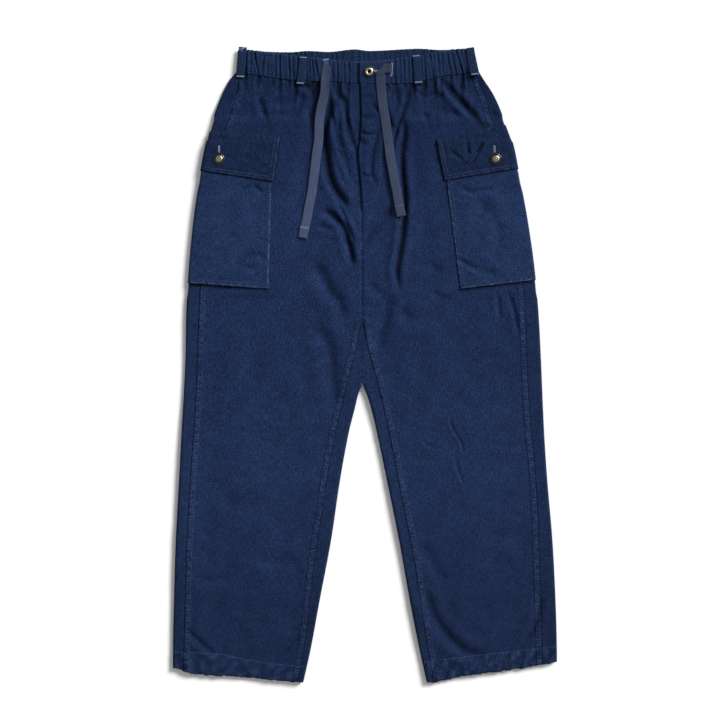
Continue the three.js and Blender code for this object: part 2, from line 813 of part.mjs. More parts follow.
addPart('front_left', frontPanel('left'), cloth(clothColours.front));
addPart('front_right', frontPanel('right'), cloth(clothColours.front));
addPart('back_left', backPanel('left'), cloth(clothColours.back));
addPart('back_right', backPanel('right'), cloth(clothColours.back));
addPart('waistband_front_left', waistbandFrontLeft(), cloth(clothColours.band));
addPart('waistband_front_right', waistbandFrontRight(), cloth(clothColours.band));
addPart('waistband_back', waistbandBack(), cloth(clothColours.band));
addPart('cargo_pocket_left', cargoPocket('left'), cloth(clothColours.pocket));
addPart('cargo_pocket_right', cargoPocket('right'), cloth(clothColours.pocket));
addPart('cargo_flap_left', cargoFlap('left'), cloth(clothColours.flap));
addPart('cargo_flap_right', cargoFlap('right'), cloth(clothColours.flap));

Object.entries(loops).forEach(([name, loop]) => {
  addPart(name, beltLoop(loop), cloth(clothColours.loop));
});

Object.entries(tapes).forEach(([name, path]) => {
  const material = new THREE.MeshStandardMaterial({ color: 0x3d4862, roughness: 0.8, metalness: 0 });
  addPart(name, strip(path, tapeWidth, tapeWall, 22, 10), material);
});

Object.entries(buttonPlaces).forEach(([name, place]) => {
  const material = new THREE.MeshStandardMaterial({ color: 0x6c6a66, roughness: 0.35, metalness: 1 });
  addPart(name, buttonGeometry(place.x, place.y, buttonBase(name, place)), material);
});

export default trousers;
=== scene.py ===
import bpy
import bmesh
import math
import numpy as np
from mathutils import Matrix, Vector


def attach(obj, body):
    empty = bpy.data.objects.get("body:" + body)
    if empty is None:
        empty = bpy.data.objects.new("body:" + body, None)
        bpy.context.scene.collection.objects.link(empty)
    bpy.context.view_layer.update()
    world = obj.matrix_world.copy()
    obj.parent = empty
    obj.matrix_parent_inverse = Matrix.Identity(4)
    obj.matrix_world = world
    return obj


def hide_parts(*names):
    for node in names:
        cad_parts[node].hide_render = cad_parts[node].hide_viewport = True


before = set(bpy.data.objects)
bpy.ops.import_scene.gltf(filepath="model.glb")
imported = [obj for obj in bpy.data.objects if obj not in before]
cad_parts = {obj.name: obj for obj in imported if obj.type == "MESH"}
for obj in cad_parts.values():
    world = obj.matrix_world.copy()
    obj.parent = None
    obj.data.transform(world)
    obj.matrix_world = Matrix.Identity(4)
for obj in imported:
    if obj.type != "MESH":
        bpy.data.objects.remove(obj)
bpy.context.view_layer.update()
print("frame loaded")

mm = 0.001  # the tables are in millimetres, Blender is in metres

# Camera, light and floor

view = {
    "pixel": 1.58,  # millimetres covered by one point of a 720 point picture
    "centre": (-7.5, 7.9),
    "height": 2.6,
    "sensor": 36.0,
}

light = {
    "floorDrop": 0.0004,  # keeps the floor clear of the cloth that lies on it
    "keyFrom": (0.75, 0.62, 0.62),  # upper right of the picture
    "keySpread": 24.0,  # degrees, as wide as a softbox looks from the cloth
    "keyPower": 4.9,
    "skyStrength": 0.42,
    "floorHex": "F1F1F1",
}


def hexColour(code, alpha=1.0):
    parts = [int(code[i:i + 2], 16) / 255 for i in (0, 2, 4)]
    linear = [c / 12.92 if c <= 0.04045 else ((c + 0.055) / 1.055) ** 2.4 for c in parts]
    return (*linear, alpha)


def addCamera():
    data = bpy.data.cameras.new("viewCamera")
    data.sensor_width = view["sensor"]
    data.lens = view["sensor"] * view["height"] / (720 * view["pixel"] * mm)
    camera = bpy.data.objects.new("viewCamera", data)
    camera.location = (view["centre"][0] * mm, view["centre"][1] * mm, view["height"])
    bpy.context.scene.collection.objects.link(camera)
    bpy.context.scene.camera = camera


def addLights():
    data = bpy.data.lights.new("keyLight", "SUN")
    data.angle = math.radians(light["keySpread"])
    data.energy = light["keyPower"]
    key = bpy.data.objects.new("keyLight", data)
    key.location = light["keyFrom"]
    key.rotation_euler = Vector(light["keyFrom"]).to_track_quat("Z", "Y").to_euler()
    bpy.context.scene.collection.objects.link(key)
    world = bpy.data.worlds.new("studioSky")
    world.use_nodes = True
    sky = world.node_tree.nodes["Background"]
    sky.inputs["Color"].default_value = (1, 1, 1, 1)
    sky.inputs["Strength"].default_value = light["skyStrength"]
    bpy.context.scene.world = world
    bpy.context.scene.view_settings.view_transform = "Standard"


def addNode(tree, kind, settings=None, values=None, links=None):
    node = tree.nodes.new(kind)
    for name, value in (settings or {}).items():
        setattr(node, name, value)
    for name, value in (values or {}).items():
        node.inputs[name].default_value = value
    for name, socket in (links or {}).items():
        tree.links.new(socket, node.inputs[name])
    return node


def newMaterial(name):
    material = bpy.data.materials.new(name)
    material.use_nodes = True
    tree = material.node_tree
    return material, tree, tree.nodes["Principled BSDF"]


def addFloor():
    bm = bmesh.new()
    bmesh.ops.create_grid(bm, x_segments=1, y_segments=1, size=3.0)
    mesh = bpy.data.meshes.new("studioFloor")
    bm.to_mesh(mesh)
    bm.free()
    floor = bpy.data.objects.new("studioFloor", mesh)
    floor.location.z = -light["floorDrop"]
    bpy.context.scene.collection.objects.link(floor)
    # Matt white paper, with a grain too fine to see
    material, tree, shader = newMaterial("whitePaper")
    grain = addNode(tree, "ShaderNodeTexNoise", values={"Scale": 900.0, "Detail": 2.0})
    bump = addNode(tree, "ShaderNodeBump", values={"Strength": 0.02}, links={"Height": grain.outputs["Fac"]})
    tree.links.new(bump.outputs["Normal"], shader.inputs["Normal"])
    shader.inputs["Base Color"].default_value = hexColour(light["floorHex"])
    shader.inputs["Roughness"].default_value = 0.9
    shader.inputs["Specular IOR Level"].default_value = 0.1
    mesh.materials.append(material)


addCamera()
addLights()
addFloor()
print("camera, light and floor placed")

# Tables of the laid outline, the seams and the folds


# Names the values in each row of a table
def namedRows(names, rows):
    return [dict(zip(names.split(), row)) for row in rows]


outline = namedRows("y left right", [
    (462, -203, 180.5), (450, -213, 188), (425, -226, 204), (387, -240, 220), (349, -251, 234),
    (311, -258.5, 242), (273, -264, 249), (235, -269.5, 256), (160, -277, 267), (84, -281.5, 274),
    (8, -283, 278), (-106, -289, 283), (-182, -293, 288), (-276, -298, 296), (-371, -301, 301),
    (-440, -302.5, 303), (-501, -302.5, 303),
])
innerEdges = namedRows("y left right", [
    (-30, -4.5, -3.5), (-49, -11, 4), (-68, -15.5, 10), (-106, -25, 19), (-182, -39, 35), (-276, -53, 54),
    (-371, -71, 71), (-447, -85, 86), (-501, -97, 98),
])
sideSeams = namedRows("y left right", [
    (462, -197, 173), (425, -202, 188), (387, -214, 199), (349, -227, 212), (311, -237, 220), (261, -245, 228),
    (182, -254, 242), (107, -260, 250), (-47, -266, 257), (-202, -276, 270), (-308, -281, 274),
    (-501, -286, 280),
])
inseams = namedRows("y left right", [
    (68, -6, -2), (32, -13, 4), (-28, -29, 20.5), (-71, -39, 31), (-142, -54, 45.5), (-202, -64, 57),
    (-308, -80, 78), (-412, -92, 94), (-501, -106, 109),
])
centreFront = namedRows("y x", [
    (476, -8), (427, -6), (395, -5), (356, -7), (335, -10), (300, -7), (253, -4), (-30, -4),
])
bandSeam = namedRows("x y", [
    (-204, 461.5), (-162, 455), (-107, 448), (-31, 445.5), (-9, 444), (76, 444), (109, 452), (136, 457),
    (182, 462),
])
frontBandTop = namedRows("x y", [
    (-204, 498), (-181, 497), (-97, 487), (-7, 479), (83, 488), (138, 498), (182, 498),
])
backBandTop = namedRows("x y", [
    (-204, 497), (-160, 495), (-116, 494), (-90, 496), (-55, 494.5), (-17, 498.5), (8, 496), (84, 499.5),
    (122, 497.5), (158, 499.5), (182, 497),
])
hemLine = namedRows("x y", [
    (-303, -477), (-266, -487), (-203, -491), (-127, -498), (-95, -500), (104, -500), (157, -490), (233, -480),
    (303, -468),
])
hemStitch = {
    "left": [(-300, -452), (-232, -455.5), (-186, -464.5), (-143, -471), (-92, -475)],
    "right": [(92, -468), (174, -458), (263, -448), (302, -443)],
}

# Each fold is a hollow along its points, with a rise on either side
panelFolds = namedRows("at width depth left right", [
    ([(-54, 426), (-54, 403), (-60, 382), (-62, 356), (-59, 329), (-55, 303), (-46, 280), (-35, 264),
      (-25, 246)], 4.6, 5.4, 0.3, 0.7),
    ([(-66, 246), (-50, 238), (-34, 221), (-27, 202), (-21, 182), (-17, 155)], 4.4, 4.6, 0.35, 0.5),
    ([(-47, 443), (-39, 425), (-29, 417), (-27, 398), (-26, 371), (-19, 352), (-11, 338)], 3.4, 2.6, 0.6, 0.4),
    ([(-71, 454), (-76, 444), (-76, 422), (-83, 398), (-86, 368)], 5.0, 4.2, 0.7, 0.4),
    ([(-102, 444), (-85, 437), (-73, 427)], 3.6, 3.2, 0.5, 0.4),
    ([(-55, 385), (-45, 351), (-33, 313), (-19, 276), (-11, 246)], 5.0, -1.5, 0.4, 0.4),
    ([(-40, 392), (-38, 360), (-29, 322), (-20, 292)], 3.0, 1.3, 0.5, 0.5),
    ([(-166, 424), (-157, 398), (-150, 381), (-146, 362)], 3.6, 2.6, 0.5, 0.5),
    ([(-170, 398), (-150, 414), (-128, 418), (-107, 424)], 6.0, 1.8, 0.5, 0.3),
    ([(-138, 380), (-118, 392), (-104, 402), (-86, 411)], 9.0, 2.6, 0.4, 0.5),
    ([(-80, 164), (-63, 145), (-55, 123), (-38, 103), (-30, 68)], 8.5, 2.4, 0.6, 0.5),
    ([(-79, 65), (-60, 47), (-52, 28), (-49, 3), (-49, -19), (-45, -40), (-47, -68)], 9.0, 2.2, 0.5, 0.5),
    ([(74, 446), (68, 420), (60, 396), (52, 372), (46, 350)], 3.0, 2.8, 0.5, 0.5),
    ([(64, 390), (64, 367), (60, 335), (60, 313), (62, 289), (64, 264), (63, 237), (60, 202), (56, 177),
      (52, 147), (57, 118)], 4.0, 5.2, 0.5, 0.35),
    ([(126, 448), (143, 427), (158, 411), (172, 394), (192, 370)], 4.2, 6.4, 0.5, 0.4),
    ([(-56, 418), (-49, 388), (-42, 352), (-34, 318)], 2.2, 1.5, 0.5, 0.5),
    ([(-36, 430), (-31, 404), (-22, 372), (-14, 346), (-10, 318)], 2.2, 1.6, 0.5, 0.5),
    ([(-42, 256), (-32, 238), (-24, 216), (-13, 192)], 2.6, 1.7, 0.5, 0.5),
    ([(96, 398), (103, 380), (110, 362)], 3.4, 1.7, 0.5, 0.5),
    ([(84, 432), (98, 424), (112, 430)], 3.0, 1.5, 0.5, 0.5),
    ([(99, 406), (112, 420), (127, 430)], 2.6, 1.4, 0.5, 0.5),
    ([(24, 376), (14, 335), (12, 305), (21, 284)], 3.4, 2.2, 0.5, 0.5),
    ([(30, 428), (36, 400), (44, 372)], 3.2, 1.8, 0.4, 0.5),
    ([(50, 250), (32, 235), (11, 210), (-4, 182)], 6.0, 2.3, 0.6, 0.5),
    ([(40, 112), (38, 92), (33, 70), (28, 47), (24, 20)], 8.0, 1.8, 0.5, 0.6),
    ([(8, 132), (20, 120), (34, 112)], 6.0, 1.2, 0.5, 0.5),
    ([(54, 93), (68, 82), (83, 76), (103, 87), (124, 108)], 8.0, 1.8, 0.6, 0.4),
    ([(225, 124), (233, 100), (239, 75), (242, 50)], 3.0, 1.4, 0.5, 0.5),
    ([(206, 126), (212, 100), (214, 72)], 2.8, 1.1, 0.5, 0.5),
    ([(134, -76), (139, -98), (151, -118), (158, -139)], 1.9, 0.8, 0.6, 0.4),
    ([(90, -117), (103, -126), (120, -131)], 2.4, 0.5, 0.6, 0.4),
    ([(144, -146), (149, -168), (158, -186)], 2.2, 0.7, 0.6, 0.4),
    ([(196, -122), (228, -124), (260, -122)], 5.0, 0.6, 0.5, 0.5),
    ([(-281, -414), (-262, -432), (-246, -446), (-234, -454)], 4.0, 1.5, 0.8, 0.3),
    ([(-102, -428), (-118, -444), (-132, -455), (-148, -463)], 4.0, 1.4, 0.3, 0.6),
    ([(-265, -328), (-241, -337), (-214, -335)], 6.0, 0.8, 0.9, 0.3),
    ([(-256, -255), (-246, -267), (-236, -279)], 4.0, 0.6, 0.6, 0.3),
    ([(-171, -304), (-140, -307), (-108, -308)], 8.0, 0.9, 0.6, 0.4),
    ([(-230, -204), (-190, -214), (-150, -208)], 12.0, 0.8, 0.6, 0.5),
    ([(12, 414), (20, 404), (28, 402)], 3.0, 2.2, 0.5, 0.5),
    ([(-6, 394), (2, 390), (12, 392)], 2.6, 1.6, 0.5, 0.5),
    ([(-6, 368), (6, 364), (16, 366)], 2.4, 2.6, 0.5, 0.5),
    ([(-6, 302), (4, 298), (12, 299)], 2.4, 2.2, 0.5, 0.5),
    ([(4, 388), (6, 360), (2, 330)], 5.0, -1.6, 0.4, 0.4),
    ([(90, -278), (111, -311), (132, -342)], 7.0, 0.9, 0.4, 0.5),
    ([(98, -350), (106, -380), (118, -404), (136, -428), (154, -444), (171, -453), (194, -456)], 7.0, 2.2, 0.6, 0.6),
    ([(280, -362), (274, -398), (264, -419), (249, -440)], 5.0, 1.5, 0.5, 0.6),
    ([(180, -272), (215, -267), (250, -264)], 8.0, 0.9, 0.5, 0.4),
    ([(102, 158), (123, 151), (144, 141)], 4.5, 1.2, 0.5, 0.4),
    ([(106, 116), (120, 111), (136, 106)], 4.0, 1.1, 0.5, 0.4),
    ([(-74, 222), (-58, 217), (-42, 217)], 4.0, 1.2, 0.5, 0.5),
    ([(-10, 361), (0, 349), (12, 347)], 2.8, 1.3, 0.5, 0.5),
    ([(-2, 422), (8, 424), (16, 421)], 2.6, 1.5, 0.4, 0.4),
])
pocketFolds = {
    "left": namedRows("at width depth left right", [
        ([(-206, 158), (-186, 172), (-168, 176), (-156, 168)], 4.5, 1.6, 0.7, 0.4),
        ([(-212, 148), (-190, 156), (-166, 152)], 5.0, 1.3, 0.6, 0.4),
        ([(-176, 290), (-168, 280), (-160, 272)], 2.8, 1.7, 0.5, 0.5),
        ([(-194, 276), (-182, 281), (-170, 280)], 3.2, 1.2, 0.5, 0.5),
    ]),
    "right": namedRows("at width depth left right", [
        ([(152, 284), (166, 274), (180, 276), (204, 278)], 3.2, 1.5, 0.5, 0.5),
        ([(180, 263), (200, 245), (211, 225), (217, 180)], 8.0, 1.5, 0.5, 0.5),
        ([(146, 170), (162, 160), (178, 152)], 3.0, 1.6, 0.6, 0.4),
        ([(150, 150), (170, 158), (208, 146)], 6.0, 1.4, 0.6, 0.4),
    ]),
}
flapFolds = {
    "left": namedRows("at width depth left right", [
        ([(-192, 334), (-180, 326), (-164, 322)], 4.0, 0.9, 0.5, 0.5),
    ]),
    "right": namedRows("at width depth left right", [
        ([(162, 354), (163, 343), (163, 331)], 2.4, 1.4, 0.5, 0.5),
        ([(187, 353), (178, 336), (169, 322), (153, 315)], 2.8, 2.3, 0.5, 0.5),
        ([(137, 338), (146, 330), (156, 323)], 2.6, 1.5, 0.5, 0.5),
    ]),
}

# Gathers of the elasticated band, by where each hollow meets the seam and the top edge
gathers = namedRows("foot top depth width", [
    (-188, -187, 2.0, 1.6), (-181, -180, 0.6, 1.6), (-167, -174, 2.1, 1.5), (-164, -158, 1.2, 1.6),
    (-154, -152, 0.5, 1.8), (-147, -148, 0.6, 1.6), (-141, -142, 0.7, 1.6), (-134, -134, 1.8, 1.5),
    (-127, -129, 0.7, 1.5), (-119, -121, 1.6, 1.5), (-112, -114, 1.3, 1.5), (-106, -105, 1.8, 1.5),
    (-92, -91, 1.2, 1.5), (-86, -87, 1.2, 1.5), (-82, -83, 1.9, 1.4), (-72, -79, 2.0, 1.6),
    (-50, -50, 0.7, 1.6), (-43, -44, 1.4, 1.5), (-38, -38, 0.8, 1.4), (-32, -33, 0.7, 1.5),
    (-25, -26, 1.6, 1.5), (-19, -19, 0.8, 1.4), (27, 26, 0.8, 1.5), (35, 35, 0.7, 1.5), (49, 47, 1.2, 1.5),
    (56, 55, 0.8, 1.5), (63, 61, 1.2, 1.5), (70, 69, 0.8, 1.5), (77, 75, 1.9, 1.5), (91, 89, 0.8, 1.5),
    (96, 93, 1.2, 1.4), (108, 102, 1.9, 1.5), (112, 107, 0.9, 1.4), (118, 114, 0.9, 1.5), (124, 120, 0.6, 1.6),
    (136, 130, 1.3, 1.4), (144, 134, 1.3, 1.4), (155, 143, 2.2, 1.5), (160, 151, 0.8, 1.5),
    (170, 161, 2.2, 1.5),
])

cloth = {
    "wall": 1.2,
    "topRow": 444.0,  # where the rows of a panel begin and end, before they bend
    "lowRow": -500.0,
    "bandWall": 2.2,
    "layerStep": 1.5,
    "restTop": 7.0,  # upper face of the fronts where they lie calm
    "onBack": 2.6,  # and where a hollow touches the back
    "slack": 1.4,  # how softly it comes to rest there
    "sideRoll": 1.2,
    "legRoll": 1.3,
    "foldScale": 1.45,
    "lowest": -4.2,
    "highest": 6.5,
}
crotch = {"x": -4, "y": -30}
fly = {"lap": 26, "bottom": 270, "underTop": 5.0, "overTop": 7.6}
sides = {
    "left": {"sign": -1, "wrap": 50, "pocketLow": 129, "pocketEdgeTop": -147, "pocketEdgeLow": -152},
    "right": {"sign": 1, "wrap": 44, "pocketLow": 134, "pocketEdgeTop": 129, "pocketEdgeLow": 151},
}
pocket = {"top": 334, "reach": 132, "frontLow": 120, "swell": 1.5}
flaps = {
    "left": {"frontTop": -134, "frontLow": -144, "topFront": 359, "topSide": 367, "lowFront": 289, "lowSide": 306},
    "right": {"frontTop": 113, "frontLow": 126, "topFront": 354, "topSide": 378, "lowFront": 291, "lowSide": 309},
}


def ramp(low, high, value):
    t = np.clip((value - low) / (high - low), 0, 1)
    return t * t * (3 - 2 * t)


def mix(a, b, t):
    return a + (b - a) * t


# The places of one part of a piece where the test holds, and of the rest elsewhere
def choose(test, part, rest):
    return [np.where(test, a, b) for a, b in zip(part, rest)]


# Reads one column of a table along another, with a smooth curve through the rows
def along(table, key, value, at):
    rows = sorted(table, key=lambda row: row[key])
    k = np.array([row[key] for row in rows], float)
    v = np.array([row[value] for row in rows], float)
    low = np.maximum(np.arange(len(k)) - 1, 0)
    high = np.minimum(np.arange(len(k)) + 1, len(k) - 1)
    slope = (v[high] - v[low]) / (k[high] - k[low])
    at = np.clip(np.asarray(at, float), k[0], k[-1])
    i = np.clip(np.searchsorted(k, at, side="right") - 1, 0, len(k) - 2)
    step = k[i + 1] - k[i]
    t = (at - k[i]) / step
    curve = (2 * t ** 3 - 3 * t ** 2 + 1) * v[i] + (t ** 3 - 2 * t ** 2 + t) * step * slope[i]
    return curve + (-2 * t ** 3 + 3 * t ** 2) * v[i + 1] + (t ** 3 - t ** 2) * step * slope[i + 1]


# A smooth line through a few points, as an array of closer points
def smoothLine(points, step=6.0):
    p = np.array(points, float)
    if len(p) == 2:
        p = np.array([p[0], p.mean(0), p[1]])
    ends = np.vstack([2 * p[0] - p[1], p, 2 * p[-1] - p[-2]])
    out = []
    for i in range(1, len(ends) - 2):
        a, b, c, d = ends[i - 1:i + 3]
        count = max(1, int(np.hypot(*(c - b)) / step))
        for t in np.arange(count) / count:
            out.append(0.5 * (2 * b + (c - a) * t + (2 * a - 5 * b + 4 * c - d) * t ** 2
                              + (3 * b - a - 3 * c + d) * t ** 3))
    out.append(p[-1])
    return np.array(out)


# Distance to a line, which side of it, and how far along it the nearest point lies
def nearLine(line, x, y):
    best = np.full(x.shape, 1e9)
    side = np.zeros(x.shape)
    place = np.zeros(x.shape)
    start = 0.0
    for (ax, ay), (bx, by) in zip(line[:-1], line[1:]):
        dx, dy = bx - ax, by - ay
        size = math.hypot(dx, dy)
        t = np.clip(((x - ax) * dx + (y - ay) * dy) / size ** 2, 0, 1)
        ex, ey = x - ax - t * dx, y - ay - t * dy
        distance = np.hypot(ex, ey)
        closer = distance < best
        best = np.where(closer, distance, best)
        side = np.where(closer, np.sign(dx * ey - dy * ex), side)
        place = np.where(closer, start + t * size, place)
        start += size
    return best, side, place, start


# A sharp hollow inside a soft one, with a rise on either side. Each line marks the shaded
# wall of its hollow, which is the one nearer to the light, so the hollow itself lies
# further from the light. The second result says how deep in a crease a place lies, and so
# how much painted shade darkens the cloth there.
def foldShape(folds, x, y):
    total = np.zeros(x.shape)
    dark = np.zeros(x.shape)
    for fold in folds:
        line = smoothLine(fold["at"])
        reach = 7 * fold["width"]
        low, high = line.min(0) - reach, line.max(0) + reach
        near = (x > low[0]) & (x < high[0]) & (y > low[1]) & (y < high[1])
        if not near.any():
            continue
        distance, side, place, length = nearLine(line, x[near], y[near])
        steps = np.diff(line, axis=0)
        sizes = np.hypot(steps[:, 0], steps[:, 1])
        facing = (steps[:, 0] * 0.64 - steps[:, 1] * 0.77) / sizes
        lean = np.interp(place, np.cumsum(sizes) - sizes / 2, facing)
        offset = side * distance + 0.7 * fold["width"] * lean
        s = np.abs(offset) / fold["width"]
        end = np.hypot(*(line[-1] - line[0])) / 6
        fade = ramp(-0.2 * end, end, np.minimum(place, length - place))
        rise = np.where(offset > 0, fold["right"], fold["left"]) * ramp(0, 1.4, s)
        hollow = 0.62 * np.exp(-s ** 2) + 0.38 * np.exp(-(s / 2.4) ** 2)
        total[near] += fold["depth"] * fade * (rise * np.exp(-((s - 2.3) / 1.5) ** 2) - hollow)
        steep = np.clip(max(fold["depth"], 0) / fold["width"], 0, 1.3) ** 1.4
        dark[near] = np.maximum(dark[near], steep * fade * np.exp(-(distance / (0.68 * fold["width"])) ** 2))
    return total, dark


def foldHeight(folds, x, y):
    return foldShape(folds, x, y)[0]


# Low uneven waves in all directions, the same on every run
def unevenWaves(x, y, seed, count, shortest, longest):
    chance = np.random.default_rng(seed)
    total = np.zeros(x.shape)
    for _ in range(count):
        length = chance.uniform(shortest, longest)
        turn = chance.uniform(0, math.pi)
        shift = chance.uniform(0, 2 * math.pi)
        total += np.sin(2 * math.pi * (x * math.cos(turn) + y * math.sin(turn)) / length + shift)
    return total / math.sqrt(count)


# Small puckers that thread pulls into the cloth beside a seam
def seamPucker(line, x, y, reach, pitch, height, seed):
    low, high = line.min(0) - 3 * reach, line.max(0) + 3 * reach
    near = (x > low[0]) & (x < high[0]) & (y > low[1]) & (y < high[1])
    total = np.zeros(x.shape)
    if near.any():
        distance, side, place, _ = nearLine(line, x[near], y[near])
        wobble = 1.7 * np.sin(place / (3.1 * pitch) + seed) + 1.1 * np.sin(place / (1.7 * pitch) + 2 * seed)
        slant = side * distance * 0.12
        total[near] = height * np.exp(-(distance / reach) ** 2) * np.sin(2 * math.pi * place / pitch + wobble + slant)
    return total


def frontSeam(x):
    return along(bandSeam, "x", "y", x)


def backSeam(x):
    reach = np.where(x < crotch["x"], 200, 186)
    return mix(452, 461.5, np.abs(x - crotch["x"]) / reach)


# Rows bend up to the band seam at the top and to the slanted hem at the bottom
def bendRow(x, row, seam=frontSeam):
    seamPull = np.clip((row - 380) / 64, 0, 1)
    hemPull = np.clip((-330 - row) / 170, 0, 1)
    hem = along(hemLine, "x", "y", x) + 500
    return row + (seam(x) - 0.15 - 444) * seamPull + hem * hemPull


def edgePoint(edgeAt, row):
    y = row
    x = edgeAt(y)
    for _ in range(4):
        y = bendRow(x, row)
        x = edgeAt(y)
    return x, y


def plateau(y, low, lowRamp, high, highRamp):
    return ramp(low - lowRamp, low, y) * (1 - ramp(high, high + highRamp, y))


def pocketLayer(y):
    return plateau(y, 116, 14, 382, 16)


def flapLayer(y):
    return plateau(y, 288, 18, 382, 16)


def outerEdge(side, y):
    layers = pocketLayer(y) + flapLayer(y)
    return along(outline, "y", side, y) - sides[side]["sign"] * cloth["layerStep"] * layers


def edgeDistance(side, x, y):
    return sides[side]["sign"] * (outerEdge(side, y) - x)


def legEdge(side, y):
    return along(innerEdges, "y", side, np.minimum(y, crotch["y"]))


# Where the front edge of a pocket and of a flap lies at each height
def pocketEdge(side, y):
    own = sides[side]
    return mix(own["pocketEdgeLow"], own["pocketEdgeTop"], np.clip((y - 120) / 170, 0, 1.3))


def flapEdge(side, y):
    own = flaps[side]
    return mix(own["frontLow"], own["frontTop"], (y - own["lowFront"]) / (own["topFront"] - own["lowFront"]))


def tableLine(table, side, high, low, step=8.0):
    y = np.arange(high, low, -step)
    return np.stack([along(table, "y", side, y), y], 1)


seamLines = {
    side: {
        "side": tableLine(sideSeams, side, 458, -500),
        "inner": tableLine(inseams, side, 66, -500),
    }
    for side in sides
}
centreLine = np.array([(along(centreFront, "y", "x", y), y) for y in np.arange(250, -28, -8.0)])


# How far a place lies below the top of the hem, and the roping of the hem
def hemShape(side, x, y):
    line = smoothLine(hemStitch[side])
    distance, which, place, _ = nearLine(line, x, y)
    below = distance * np.where(which < 0, 1, -1)
    inHem = ramp(-0.8, 1.2, below)
    twist = 0.7 * unevenWaves(place + 0.5 * below, 0.8 * below, 41 if side == "left" else 47, 18, 6.0, 24.0)
    rope = (0.6 + 0.3 * np.sin(place / 19.0)) * twist * ramp(-9, 3, below)
    dent = -0.6 * np.exp(-(below / 1.8) ** 2)
    return 0.8 * inHem + rope + dent, below, place, twist


def gatherTail(x, y):
    below = frontSeam(x) - y
    total = np.zeros(x.shape)
    for i, gather in enumerate(gathers):
        reach = 20 + 10 * math.sin(1.9 * i)
        drift = 0.16 * math.sin(2.7 * i)
        away = x - gather["foot"] - drift * below
        spread = 2.6 + 0.05 * np.clip(below, 0, 60)
        total -= 1.9 * gather["depth"] * np.exp(-(away / spread) ** 2) * np.exp(-(below / reach) ** 2)
        total += 0.7 * gather["depth"] * np.exp(-((away - 4.5) / 2.6) ** 2) * np.exp(-(below / reach) ** 2)
    fine = np.sin(x / 1.2 + 1.8 * np.sin(x / 11)) + np.sin(x / 2.1 + 2.0 * np.sin(x / 17) + 0.08 * below)
    return total + 0.55 * fine * np.exp(-(below / 10) ** 2) * ramp(22, 32, np.abs(x - 2))


# Height of the upper face of the fronts, and of the back where it shows beside them
def topHeight(side, x, y):
    sign = sides[side]["sign"]
    d = edgeDistance(side, x, y)
    cover = 1 - ramp(pocket["reach"] + 8, pocket["reach"] + 34, d)
    covered = np.maximum(pocketLayer(y), flapLayer(y)) * cover
    lift = cloth["layerStep"] * (pocketLayer(y) + flapLayer(y)) * cover
    inner = sign * (x - legEdge(side, y))
    legRoll = cloth["legRoll"] * np.exp(-(inner / 13) ** 2) * ramp(10, -70, y)
    sideRoll = cloth["sideRoll"] * np.exp(-(d / 15) ** 2)
    belly = 1.6 * ramp(430, 395, y) - 1.6
    fold = cloth["foldScale"] * foldHeight(panelFolds, x, y) + belly
    drape = 0.9 * unevenWaves(x, y, 5, 7, 70, 190) + 0.2 * unevenWaves(x, y, 9, 14, 16, 42)
    crumple = unevenWaves(x, 0.5 * y, 13, 16, 9, 34)
    drape += (0.7 * crumple - 0.7 * np.abs(crumple)) * (0.12 + 0.88 * ramp(230, 410, y))
    drape += 0.5 * unevenWaves(x, y, 15, 9, 26, 60) * ramp(180, 360, y)
    pucker = seamPucker(seamLines[side]["side"], x, y, 7, 12, 0.4, 1)
    pucker += seamPucker(seamLines[side]["inner"], x, y, 7, 11, 0.45, 2)
    pucker += seamPucker(centreLine, x, y, 7, 11, 0.35, 3)
    hem = hemShape(side, x, y)[0] * ramp(-400, -430, y)
    uneven = np.clip(fold + drape, cloth["lowest"], cloth["highest"])
    loose = sideRoll + legRoll + uneven + pucker + hem
    free = cloth["restTop"] + loose * (1 - covered) + lift + gatherTail(x, y) * (1 - covered)
    # Hollows bottom out softly on the back, which lies two walls thick below them
    slack = cloth["slack"]
    soft = cloth["onBack"] + slack * np.exp(np.minimum(free - cloth["onBack"] - slack, 0) / slack)
    free = np.where(free < cloth["onBack"] + slack, soft, free)
    onFly = plateau(y, 250, 12, 600, 1)
    if side == "left":
        return mix(free, fly["underTop"] + 0.3 * fold, onFly * ramp(-26, -11, x))
    return mix(free, fly["overTop"] + 0.5 * fold, onFly * (1 - ramp(20, 40, x)))


def bottomHeight(side, x, y):
    d = edgeDistance(side, x, y)
    wrap = sides[side]["wrap"]
    return cloth["layerStep"] * (pocketLayer(y) + flapLayer(y)) * (1 - ramp(wrap + 6, wrap + 26, d))


print("tables read")
